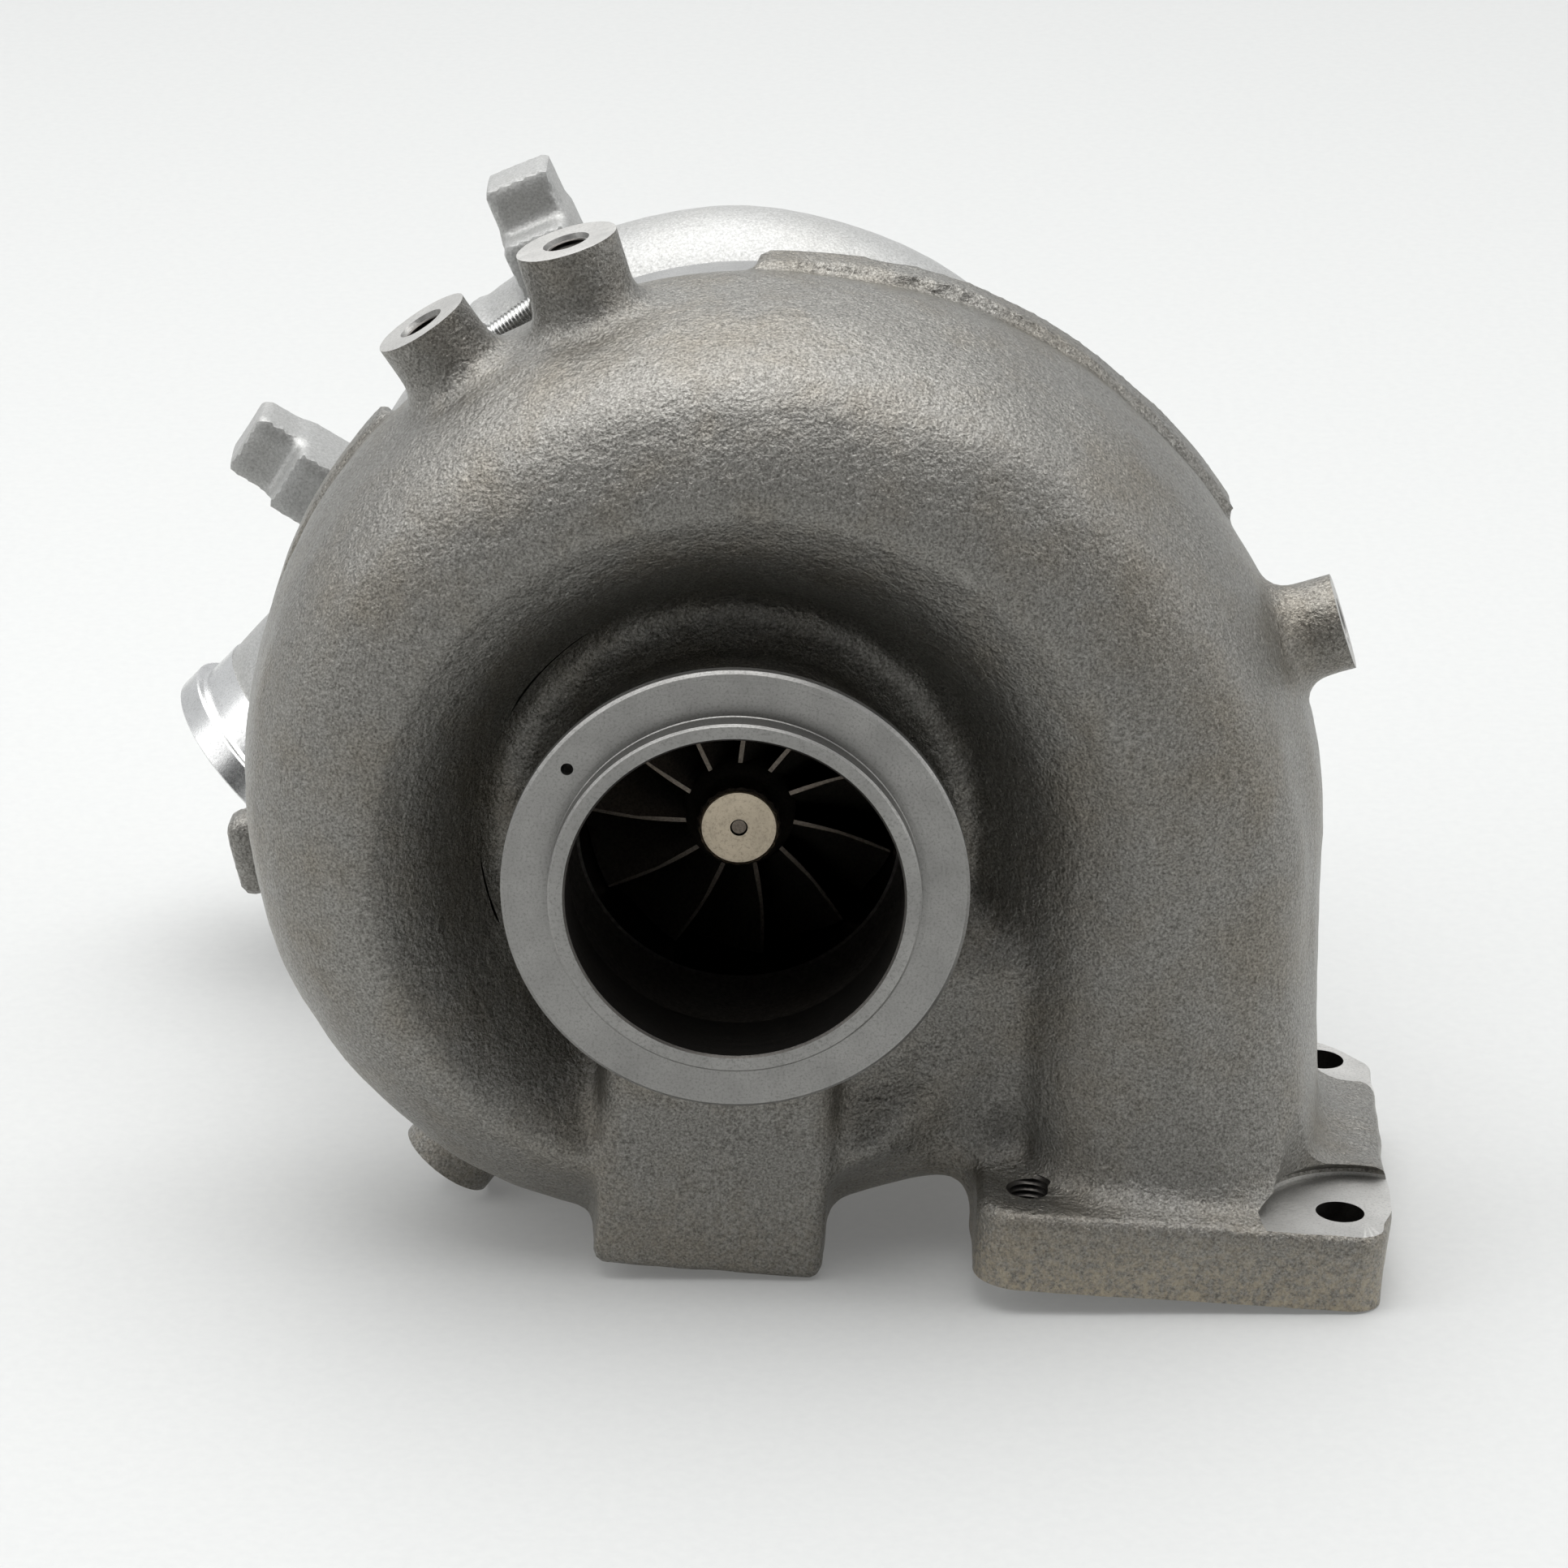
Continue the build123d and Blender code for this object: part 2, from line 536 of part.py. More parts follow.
def v_band_nut(turn):
    z = BAND_GAP / 2 + 5
    nut = hexagon_prism((BAND_R + 9, BAND_MID, z), (0, 0, 1), 10, 8)
    nut -= cylinder((BAND_R + 9, BAND_MID, z - 1), (0, 0, 1), 3.0, 10)
    return Rot(0, -BAND_TOP - turn, 0) * nut


NODES = {
    "turbine_housing": turbine_housing,
    "threaded_bosses": threaded_bosses,
    "turbine_wheel": turbine_wheel,
    "rotor_shaft": rotor_shaft,
    "heat_shield": heat_shield,
    "turbine_seal_ring": lambda: piston_ring(93.8, 11.4, 9.6),
    "clamp_plates": clamp_plates,
    "clamp_bolts": clamp_bolts,
    "bearing_housing": bearing_housing,
    "journal_bearing_turbine": lambda: floating_bearing(BEARING_Y[0]),
    "journal_bearing_compressor": lambda: floating_bearing(BEARING_Y[1]),
    "bearing_snap_rings": bearing_snap_rings,
    "thrust_bearing": thrust_bearing,
    "thrust_pins": thrust_pins,
    "thrust_collar": thrust_collar,
    "oil_slinger": oil_slinger,
    "oil_baffle": oil_baffle,
    "seal_insert": seal_insert,
    "seal_insert_oring": lambda: ring_seal(INSERT_R - 1.2, 162.0, 1.12),
    "insert_snap_ring": lambda: snap_ring(166.3, INSERT_R + 1.1, 32.2, 1.2, 12.0),
    "compressor_seal_ring": lambda: piston_ring(161.8, 11.9, 10.1),
    "compressor_wheel": compressor_wheel,
    "compressor_nut": compressor_nut,
    "compressor_cover": compressor_cover,
    "cover_oring": lambda: ring_seal(78.8, 166.8, 1.15),
    "v_band_half_upper": lambda: v_band_half(1),
    "v_band_half_lower": lambda: v_band_half(-1),
    "v_band_bolts": lambda: Compound(children=[v_band_bolt(0), v_band_bolt(180)]),
    "v_band_nuts": lambda: Compound(children=[v_band_nut(0), v_band_nut(180)]),
}


def main():
    os.makedirs("parts", exist_ok=True)
    for name, make in NODES.items():
        export_step(make(), f"parts/{name}.step")


main()
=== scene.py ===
import math

import bmesh
import bpy
import numpy as np
import openvdb
from mathutils import Matrix, Vector


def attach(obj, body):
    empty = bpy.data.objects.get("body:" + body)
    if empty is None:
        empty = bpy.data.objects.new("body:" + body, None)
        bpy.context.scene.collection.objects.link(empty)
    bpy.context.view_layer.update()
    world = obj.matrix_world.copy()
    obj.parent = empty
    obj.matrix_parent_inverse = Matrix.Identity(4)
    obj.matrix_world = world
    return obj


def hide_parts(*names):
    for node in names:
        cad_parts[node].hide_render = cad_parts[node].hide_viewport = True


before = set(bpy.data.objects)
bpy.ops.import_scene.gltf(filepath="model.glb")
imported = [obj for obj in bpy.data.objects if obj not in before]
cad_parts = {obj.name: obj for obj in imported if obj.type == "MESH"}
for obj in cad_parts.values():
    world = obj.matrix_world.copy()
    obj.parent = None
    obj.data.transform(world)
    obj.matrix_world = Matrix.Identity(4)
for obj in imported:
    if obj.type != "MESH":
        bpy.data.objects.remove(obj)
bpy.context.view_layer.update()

MM = 0.001
UP = Vector((0, 1, 0))          # shapes are turned about +Y and then aimed


# ------------------------------------------------------------------ closed shapes, in mm
def revolve(profile, steps=128):
    """Closed solid of revolution about the shaft from (radius, station) corners."""
    verts, faces, rows = [], [], []
    for r, y in profile:
        start = len(verts)
        if r < 1e-6:
            rows.append([start])
            verts.append((0.0, y, 0.0))
            continue
        rows.append(list(range(start, start + steps)))
        for k in range(steps):
            a = 2 * math.pi * k / steps
            verts.append((r * math.cos(a), y, r * math.sin(a)))
    for i, a in enumerate(rows):
        b = rows[(i + 1) % len(rows)]
        for k in range(steps):
            m = (k + 1) % steps
            if len(a) > 1 and len(b) > 1:
                faces.append((a[k], a[m], b[m], b[k]))
            elif len(b) > 1:
                faces.append((a[0], b[m], b[k]))
            elif len(a) > 1:
                faces.append((a[k], a[m], b[0]))
    return verts, faces


def loft(rings):
    """Solid through rings of equally many points, with a fan over each end."""
    n = len(rings[0])
    verts = [tuple(p) for ring in rings for p in ring]
    faces = []
    for i in range(len(rings) - 1):
        for k in range(n):
            m = (k + 1) % n
            faces.append((i * n + k, i * n + m, (i + 1) * n + m, (i + 1) * n + k))
    for first, ring in ((0, rings[0]), ((len(rings) - 1) * n, rings[-1])):
        centre = len(verts)
        verts.append(tuple(np.mean(np.array(ring), axis=0)))
        for k in range(n):
            face = (first + k, centre, first + (k + 1) % n)
            faces.append(face if first == 0 else face[::-1])
    return verts, faces


def circle(count, centre=(0.0, 0.0), r=1.0):
    """Points round a circle, from its +x side."""
    return [(centre[0] + r * math.cos(t), centre[1] + r * math.sin(t))
            for t in np.linspace(0, 2 * math.pi, count, endpoint=False)]


def box_shape(low, high):
    corners = ((low[0], low[1]), (high[0], low[1]), (high[0], high[1]), (low[0], high[1]))
    return loft([[(x, y, z) for x, y in corners] for z in (low[2], high[2])])


def moved(shape, matrix):
    verts, faces = shape
    return [tuple(matrix @ Vector(v)) for v in verts], faces


def aimed(shape, start, direction):
    """The shape's +Y axis is laid along a direction, from a start point."""
    turn = UP.rotation_difference(Vector(direction).normalized()).to_matrix().to_4x4()
    return moved(shape, Matrix.Translation(start) @ turn)


def rod(start, direction, r, length, steps=48, chamfer=0.0):
    profile = [(0, 0), (r, 0), (r, length), (0, length)]
    if chamfer:
        profile[1:3] = [(r - chamfer, 0), (r, chamfer), (r, length - chamfer), (r - chamfer, length)]
    return aimed(revolve(profile, steps), start, direction)


def threaded(start, direction, r, length, pitch=1.5, depth=0.9, steps=40):
    """Cutter for a tapped hole, or a threaded shank, with one ridge per pitch."""
    profile, y = [(0, 0), (r, 0)], 0.6
    while y + pitch < length:
        profile += [(r, y), (r + depth, y + pitch * 0.45), (r, y + pitch * 0.9)]
        y += pitch
    return aimed(revolve(profile + [(r, length), (0, length)], steps), start, direction)


def hexagon(start, direction, across, length, bevel=0.6):
    corner = across / math.sqrt(3)
    levels = ((0, corner - bevel), (bevel * 0.5, corner), (length - bevel * 0.7, corner),
              (length, corner - 1.6 * bevel))
    return aimed(loft([[polar(r, 60 * k, y) for k in range(6)] for y, r in levels]), start, direction)


def joined(shapes):
    verts, faces = [], []
    for v, f in shapes:
        base = len(verts)
        verts += v
        faces += [tuple(base + i for i in face) for face in f]
    return verts, faces


def around(shape, count, offset=0.0):
    return [moved(shape, swung(offset + k * 360 / count)) for k in range(count)]


def swung(angle):
    """Turn about the shaft, in the sense in which polar() counts its angles."""
    return Matrix.Rotation(-math.radians(angle), 4, "Y")


def polar(r, angle, y=0.0):
    a = math.radians(angle)
    return (r * math.cos(a), y, r * math.sin(a))


def curve(xs, ys, x):
    """Smooth curve through a table, one cubic per interval."""
    xs, ys = np.array(xs, float), np.array(ys, float)
    slope = np.gradient(ys, xs)
    i = int(np.clip(np.searchsorted(xs, x) - 1, 0, len(xs) - 2))
    h = xs[i + 1] - xs[i]
    t = (x - xs[i]) / h
    return float((2 * t ** 3 - 3 * t ** 2 + 1) * ys[i] + (t ** 3 - 2 * t ** 2 + t) * h * slope[i]
                 + (3 * t ** 2 - 2 * t ** 3) * ys[i + 1] + (t ** 3 - t ** 2) * h * slope[i + 1])


def closed_spline(points, parts=7):
    """Periodic cubic through the points."""
    p = np.array(points, float)
    out = []
    for i in range(len(p)):
        a, b, c, d = p[i - 1], p[i], p[(i + 1) % len(p)], p[(i + 2) % len(p)]
        for k in range(parts):
            t = k / parts
            out.append(0.5 * (2 * b + (c - a) * t + (2 * a - 5 * b + 4 * c - d) * t ** 2
                              + (3 * b - a - 3 * c + d) * t ** 3))
    return np.array(out)


def rounded_rectangle(width, height, corner, parts=6):
    out = []
    for k, (sx, sy) in enumerate(((1, 1), (-1, 1), (-1, -1), (1, -1))):
        for i in range(parts + 1):
            a = math.pi / 2 * (k + i / parts)
            out.append((sx * (width / 2 - corner) + corner * math.cos(a),
                        sy * (height / 2 - corner) + corner * math.sin(a)))
    return out


def on_shaft_plane(points, angle):
    """(radius, station) points on the plane through the shaft at an angle."""
    c, s = math.cos(math.radians(angle)), math.sin(math.radians(angle))
    return [(r * c, y, r * s) for r, y in points]


# ------------------------------------------------------------------ objects and cuts
def linked(name, data):
    made = bpy.data.objects.new(name, data)
    bpy.context.scene.collection.objects.link(made)
    return made


def solid(name, shape, *materials):
    """Object made of a closed shape in mm, with its faces turned outwards."""
    verts, faces = shape
    mesh = bpy.data.meshes.new(name)
    mesh.from_pydata((np.array(verts, float) * MM).tolist(), [], faces)
    for m in materials:
        mesh.materials.append(m)
    work = bmesh.new()
    work.from_mesh(mesh)
    bmesh.ops.recalc_face_normals(work, faces=work.faces)
    work.to_mesh(mesh)
    work.free()
    return linked(name, mesh)


def combine(target, operation, shapes, material):
    """Adds shapes to the target or cuts them out; their faces keep the given material."""
    tool = solid("tool", joined(shapes), material)
    step = target.modifiers.new("cut", "BOOLEAN")
    step.solver = "MANIFOLD"
    step.operation = operation
    step.material_mode = "TRANSFER"
    step.object = tool
    graph = bpy.context.evaluated_depsgraph_get()
    result = bpy.data.meshes.new_from_object(target.evaluated_get(graph), depsgraph=graph)
    target.modifiers.clear()
    old, target.data = target.data, result
    bpy.data.meshes.remove(old)
    used = tool.data
    bpy.data.objects.remove(tool)
    bpy.data.meshes.remove(used)


def finish_piece(piece, body, slot, *nodes, angle=32):
    """Smooth faces with sharp edges, and what the piece rides on and stands for."""
    for face in piece.data.polygons:
        face.use_smooth = True
    piece.data.set_sharp_from_angle(angle=math.radians(angle))
    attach(piece, body)
    if nodes:
        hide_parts(*nodes)
    return piece


# ------------------------------------------------------------------ castings as blended distance fields
def polygon_distance(points, r, y):
    r, y = np.broadcast_arrays(r, y)
    distance = np.full(r.shape, 1e9)
    inside = np.zeros(r.shape, bool)
    for i in range(len(points)):
        (ar, ay), (br, by) = points[i - 1], points[i]
        er, ey = br - ar, by - ay
        t = np.clip(((r - ar) * er + (y - ay) * ey) / (er * er + ey * ey), 0, 1)
        distance = np.minimum(distance, (r - ar - t * er) ** 2 + (y - ay - t * ey) ** 2)
        if ey:
            inside ^= ((ay > y) != (by > y)) & (r < er * (y - ay) / ey + ar)
    return np.where(inside, -1, 1) * np.sqrt(distance)


def corner_distance(a, b):
    """Distance from the corner region where both are negative."""
    return np.sqrt(np.maximum(a, 0) ** 2 + np.maximum(b, 0) ** 2) + np.minimum(np.maximum(a, b), 0)


class Casting:
    """Distance field on a regular grid, negative inside the metal."""

    def __init__(self, low, high, step):
        self.low, self.step = np.array(low, float), step
        self.count = [int(math.ceil((b - a) / step)) + 1 for a, b in zip(low, high)]
        axes = [(a + step * np.arange(n)).astype(np.float32) for a, n in zip(low, self.count)]
        self.x, self.y, self.z = axes[0][:, None, None], axes[1][None, :, None], axes[2][None, None, :]
        self.value = np.full(self.count, 99.0, np.float32)

    def transform(self):
        t = openvdb.createLinearTransform(voxelSize=self.step)
        t.postTranslate(tuple(self.low))
        return t

    def add(self, field, blend):
        gap = np.maximum(blend - np.abs(self.value - field), 0) / max(blend, 1e-6)
        self.value = np.minimum(self.value, field) - gap * gap * blend * 0.25

    def shape(self, shape, reach=12):
        """Field of a closed shape, exact near its surface."""
        verts, faces = shape
        tris = [f for f in faces if len(f) == 3]
        quads = [f for f in faces if len(f) == 4]
        grid = openvdb.FloatGrid.createLevelSetFromPolygons(
            np.array(verts, np.float32), np.array(tris, np.uint32).reshape(-1, 3),
            np.array(quads, np.uint32).reshape(-1, 4), self.transform(), float(reach))
        out = np.zeros(self.count, np.float32)
        grid.copyToArray(out)
        return out

    def box(self, low, high, round_by, turn=0.0, about=(0, 0)):
        """Box with rounded edges; turn swings it about the shaft direction."""
        x, z = self.x - about[0], self.z - about[1]
        if turn:
            c, s = math.cos(math.radians(turn)), math.sin(math.radians(turn))
            x, z = x * c + z * s, z * c - x * s
        q = [np.abs(v - (a + b) / 2) - ((b - a) / 2 - round_by)
             for v, a, b in zip((x, self.y, z), low, high)]
        outside = np.sqrt(sum(np.maximum(v, 0) ** 2 for v in q))
        return outside + np.minimum(np.maximum(np.maximum(q[0], q[1]), q[2]), 0) - round_by

    def plate(self, low, high, corners, edge):
        """Plate with a radius per corner: front left, front right, rear right, rear left."""
        mid = [(a + b) / 2 for a, b in zip(low, high)]
        left, near = self.x < mid[0], self.y < mid[1]
        radius = np.where(near, np.where(left, corners[0], corners[1]),
                          np.where(left, corners[3], corners[2]))
        qx = np.abs(self.x - mid[0]) - (high[0] - low[0]) / 2 + radius
        qy = np.abs(self.y - mid[1]) - (high[1] - low[1]) / 2 + radius
        outline = corner_distance(qx, qy) - radius
        return corner_distance(outline + edge, np.abs(self.z - mid[2]) - (high[2] - low[2]) / 2 + edge) - edge

    def rod(self, start, direction, r, length, round_by=0.5):
        d = np.array(direction, float)
        d /= np.linalg.norm(d)
        px, py, pz = self.x - start[0], self.y - start[1], self.z - start[2]
        along = px * d[0] + py * d[1] + pz * d[2]
        across = np.sqrt(np.maximum(px ** 2 + py ** 2 + pz ** 2 - along ** 2, 0))
        past_end = np.abs(along - length / 2) - (length / 2 - round_by)
        return corner_distance(across - (r - round_by), past_end) - round_by

    def turned(self, profile):
        """Field of a turned solid; a profile at a negative radius reaches past the axis."""
        pitch = 0.7
        radius = np.arange(0, 260, pitch)
        table = polygon_distance(profile, radius[:, None], self.y[0, :, 0][None, :]).astype(np.float32)
        r = np.sqrt(self.x[:, 0, :] ** 2 + self.z[:, 0, :] ** 2) / pitch
        i = np.minimum(r.astype(int), len(radius) - 2)
        f = (r - i)[..., None]
        return np.transpose(table[i] * (1 - f) + table[i + 1] * f, (0, 2, 1))

    def smooth(self, low, high, passes, fade=7.0):
        """Rounds off ridges and valleys inside a box, fading out towards its sides."""
        spans = [slice(int((a - o) / self.step), int((b - o) / self.step))
                 for a, b, o in zip(low, high, self.low)]
        part = self.value[tuple(spans)].copy()
        soft = np.clip(part, -20, 20)
        for _ in range(passes):
            for axis in range(3):
                soft = 0.5 * soft + 0.25 * (np.roll(soft, 1, axis) + np.roll(soft, -1, axis))
        weight = 1.0
        for axis, count in enumerate(part.shape):
            edge = np.minimum(np.arange(count), np.arange(count)[::-1]) * self.step / fade
            inward = np.clip(edge - 0.2, 0, 1)
            shape = [1, 1, 1]
            shape[axis] = count
            weight = weight * (inward ** 2 * (3 - 2 * inward)).reshape(shape)
        self.value[tuple(spans)] = part + (soft - part) * weight

    def ripple(self, size, height, seed):
        """Gentle unevenness of a sand casting."""
        rng = np.random.default_rng(seed)
        out = 0.0
        for _ in range(7):
            k = rng.normal(size=3)
            k *= 2 * math.pi / (size * rng.uniform(0.6, 1.6) * np.linalg.norm(k))
            p = rng.uniform(0, 6.28)
            out = out + np.sin(self.x * k[0] + self.y * k[1] + self.z * k[2] + p)
        self.value += (height * out / 2.6).astype(np.float32)

    def polygons(self):
        band = 3 * self.step
        grid = openvdb.FloatGrid(band)
        grid.copyFromArray(np.clip(self.value, -band, band).astype(np.float32))
        grid.transform = self.transform()
        verts, tris, quads = grid.convertToPolygons(isovalue=0.0, adaptivity=0.0)
        return verts.tolist(), [tuple(f) for f in tris.tolist()] + [tuple(f) for f in quads.tolist()]


# ------------------------------------------------------------------ materials
class Nodes:
    def __init__(self, name):
        self.material = bpy.data.materials.new(name)
        self.material.use_nodes = True
        self.tree = self.material.node_tree
        self.shader = self.tree.nodes["Principled BSDF"]
        self.place = self.make("ShaderNodeTexCoord").outputs["Object"]

    def make(self, kind, values=None, **settings):
        node = self.tree.nodes.new(kind)
        for key, value in settings.items():
            setattr(node, key, value)
        for key, value in (values or {}).items():
            if isinstance(value, bpy.types.NodeSocket):
                self.tree.links.new(value, node.inputs[key])
            else:
                node.inputs[key].default_value = value
        return node

    def noise(self, size_mm, detail=3.0, roughness=0.6, vector=None):
        node = self.make("ShaderNodeTexNoise", {"Vector": vector or self.place, "Scale": 1000 / size_mm,
                                                "Detail": detail, "Roughness": roughness})
        return node.outputs["Fac"]

    def cells(self, size_mm):
        node = self.make("ShaderNodeTexVoronoi", {"Vector": self.place, "Scale": 1000 / size_mm})
        return node.outputs["Distance"]

    def span(self, value, low, high, out_low, out_high):
        node = self.make("ShaderNodeMapRange", {"Value": value, "From Min": low, "From Max": high,
                                                "To Min": out_low, "To Max": out_high})
        return node.outputs["Result"]

    def math(self, operation, a, b=0.0):
        return self.make("ShaderNodeMath", {0: a, 1: b}, operation=operation).outputs[0]

    def bump(self, height, depth_mm, normal=None):
        values = {"Height": height, "Distance": depth_mm * MM, "Strength": 1.0}
        if normal is not None:
            values["Normal"] = normal
        return self.make("ShaderNodeBump", values).outputs["Normal"]

    def set(self, **values):
        for key, value in values.items():
            socket = self.shader.inputs[key.replace("_", " ")]
            if isinstance(value, bpy.types.NodeSocket):
                self.tree.links.new(value, socket)
            else:
                socket.default_value = value
        return self.material


def rgba(r, g, b):
    return (r, g, b, 1.0)


def colour_mix(n, factor, a, b, blend="MIX"):
    """Mix of two colours; the colour sockets of the Mix node are picked by type."""
    node = n.tree.nodes.new("ShaderNodeMix")
    node.data_type, node.blend_type = "RGBA", blend
    sockets = [s for s in node.inputs if s.type == "RGBA"]
    for socket, value in zip([node.inputs[0]] + sockets, (factor, a, b)):
        if isinstance(value, bpy.types.NodeSocket):
            n.tree.links.new(value, socket)
        else:
            socket.default_value = value
    return next(s for s in node.outputs if s.type == "RGBA")


def cast_metal(name, dark, light, tint, metallic, rough, grain, depth, brown_and_floor_light_band=None):
    """Shot-blasted casting: sparkling grain, soft blotches and a tint in patches."""
    n = Nodes(name)
    coarse, fine, pits = n.noise(22, 4), n.noise(grain, 4, 0.7), n.cells(grain * 1.7)
    base = colour_mix(n, n.span(fine, 0.35, 0.65, 0, 1), rgba(*dark), rgba(*light))
    base = colour_mix(n, n.span(coarse, 0.45, 0.7, 0.0, 0.5), base, rgba(*tint), "MULTIPLY")
    # lighter brown patches in a band low down, over the inlet flange and kept off the foot: partly brownish
    # discolouration of the metal, partly painted light from the bright floor below
    if brown_and_floor_light_band is not None:
        xyz = n.make("ShaderNodeSeparateXYZ", {"Vector": n.place}).outputs
        low = n.span(xyz["Z"], brown_and_floor_light_band[0] * MM, brown_and_floor_light_band[1] * MM, 1.0, 0.0)
        low = n.math("MULTIPLY", low, n.span(xyz["X"], 30 * MM, 56 * MM, 0.15, 1.0))
        brown_and_floor_light = n.math("MULTIPLY", low, n.span(n.noise(1.6, 4, 0.7), 0.4, 0.62, 0.1, 0.9))
        base = colour_mix(n, brown_and_floor_light, base, rgba(0.50, 0.43, 0.32))
    grain_height = n.math("ADD", fine, n.math("MULTIPLY", pits, 0.5))
    normal = n.bump(n.noise(2.6, 4, 0.55), depth * 2.0, n.bump(grain_height, depth))
    return n.set(Base_Color=base, Metallic=metallic, Normal=normal,
                 Roughness=n.span(n.noise(grain * 1.4, 3), 0.3, 0.7, rough[0], rough[1]))


def machined_metal(name, colour, rough, grooves_mm=0.35, depth=0.012, dark=0.8):
    """Turned or milled metal: fine rings about the shaft, faint stains."""
    n = Nodes(name)
    xyz = n.make("ShaderNodeSeparateXYZ", {"Vector": n.place}).outputs
    x_square, z_square = (n.math("MULTIPLY", xyz[axis], xyz[axis]) for axis in "XZ")
    r = n.math("SQRT", n.math("ADD", x_square, z_square))
    line = n.make("ShaderNodeCombineXYZ", {"X": r, "Y": xyz["Y"]}).outputs["Vector"]
    rings = n.noise(grooves_mm, 2, 0.5, line)
    grain = n.noise(0.6, 3, 0.7)
    stain = n.noise(14, 4)
    base = colour_mix(n, n.span(stain, 0.35, 0.7, 0, 1), rgba(*colour), rgba(*[c * dark for c in colour]))
    base = colour_mix(n, n.span(grain, 0.5, 0.68, 0, 0.6), base, rgba(*[c * 0.55 for c in colour]))
    normal = n.bump(rings, depth, n.bump(grain, depth))
    return n.set(Base_Color=base, Metallic=1.0, Normal=normal,
                 Roughness=n.span(n.math("ADD", rings, grain), 0.7, 1.3, rough[0], rough[1]))


# the band from -90 to -68 mm gets the lighter brown patches: partly discolouration, partly painted floor
# light
IRON = cast_metal("cast_iron", (0.12, 0.114, 0.103), (0.36, 0.351, 0.325), (0.86, 0.78, 0.66), 0.9,
                  (0.26, 0.46), 0.6, 0.26, (-90, -68))
IRON_ROUGH = cast_metal("cast_iron_rough", (0.15, 0.143, 0.132), (0.36, 0.35, 0.33), (0.8, 0.74, 0.66), 0.8,
                        (0.45, 0.75), 1.1, 0.3)
# much darker copy of the cast iron for the gas passages, throat and cast step: painted shade of these hollows
IRON_PAINTED_SHADE = cast_metal("gas_passage", (0.035, 0.031, 0.027), (0.075, 0.068, 0.06), (0.8, 0.72, 0.6), 0.6,
                       (0.5, 0.7), 1.2, 0.12)
IRON_CUT = machined_metal("machined_iron", (0.34, 0.335, 0.322), (0.36, 0.55), 0.35, 0.03)
# lighter copy of the machined iron for the milled nut seats, flange bottom and boss end faces: painted light
# on these faces
IRON_PAD_PAINTED_LIGHT = machined_metal("milled_iron_pad_painted_light", (0.60, 0.592, 0.57), (0.42, 0.6), 0.8, 0.03)
# darker copy of the machined iron for the outlet bore and the tapped and drilled holes: painted shade inside
# them
BORE_CUT_PAINTED_SHADE = machined_metal("machined_bore_painted_shade", (0.115, 0.108, 0.10), (0.34, 0.5), 0.5, 0.02)
# near-black copy of the machined iron for the shroud deep in the housing and the nose's centre hole: painted
# shade
SHROUD_CUT_PAINTED_SHADE = machined_metal("machined_shroud_painted_shade", (0.03, 0.027, 0.024), (0.35, 0.5), 0.5, 0.02)
WHEEL = cast_metal("turbine_alloy", (0.10, 0.086, 0.072), (0.20, 0.172, 0.145), (0.85, 0.78, 0.68), 0.9,
                   (0.28, 0.42), 0.5, 0.02)
NOSE = machined_metal("ground_nose", (0.50, 0.43, 0.33), (0.3, 0.42), 0.3, 0.02)
STEEL = machined_metal("turned_steel", (0.55, 0.55, 0.54), (0.2, 0.34))
STAINLESS = machined_metal("rolled_stainless", (0.60, 0.595, 0.58), (0.24, 0.36), 0.8, 0.008)
ALLOY = cast_metal("cast_aluminium", (0.33, 0.33, 0.32), (0.50, 0.50, 0.49), (0.97, 0.955, 0.93), 0.55,
                   (0.4, 0.58), 0.6, 0.07)
ALLOY_CUT = machined_metal("machined_aluminium", (0.80, 0.80, 0.795), (0.2, 0.32))
WHEEL_ALLOY = machined_metal("milled_aluminium", (0.78, 0.78, 0.785), (0.18, 0.3), 0.6, 0.01)
BRONZE = machined_metal("bronze", (0.62, 0.42, 0.19), (0.24, 0.4))
DARK_STEEL = machined_metal("phosphated_steel", (0.16, 0.158, 0.155), (0.4, 0.55), 0.6, 0.02)


def rubber_material():
    n = Nodes("rubber")
    speck = n.noise(0.8, 3)
    base = colour_mix(n, n.span(speck, 0.4, 0.6, 0, 1), rgba(0.012, 0.012, 0.012), rgba(0.03, 0.03, 0.03))
    return n.set(Base_Color=base, Roughness=n.span(speck, 0.3, 0.7, 0.45, 0.7), Normal=n.bump(speck, 0.03))


RUBBER = rubber_material()

# ------------------------------------------------------------------ turbine housing
# angle about the shaft and outer radius there
VOLUTE_ANGLE = (0, 30, 60, 90, 120, 150, 180, 210, 240, 270, 300, 330)
VOLUTE_R = (132.0, 127.0, 124.0, 120.5, 118.0, 115.5, 112.0, 109.0, 103.5, 97.0, 92.5, 84.0)
VOLUTE_BACK = 90.0
PORT_X, PORT_Y = 104.8, 49.65
BOLT_DX, BOLT_DY = 69.85, 85.7
FLANGE_BOTTOM, FLANGE_TOP = -88.0, -70.0
REAR_FACE = 94
SEAT_X, SEAT_Y, SEAT_R = 145.2, (2.8, 96.5), 24.3       # milled nut seats on the flange
# angle about the shaft, radius of the end face, station, length of the cast boss, depth of its hole
BOSSES = ((110, 136.0, 58.0, 30, 14), (126, 132.0, 58.0, 30, 12),
          (21, 141.5, 60.0, 28, 14), (237.5, 115.5, 64.0, 26, 12))
BOSS_R, TAP_R = 11.1, 4.1
OUTLET_R, OUTLET_BORE_R = 51.5, 37.2
CLAMP_BOLT_CIRCLE, CLAMP_BOLT_ANGLES = 63, [22.5 + 45 * k for k in range(8)]


def volute_front(ro):
    """Station of the volute's front crest, further forward where the volute is larger."""
    return 15 - 11 * (ro - 92.5) / (VOLUTE_R[0] - 92.5)


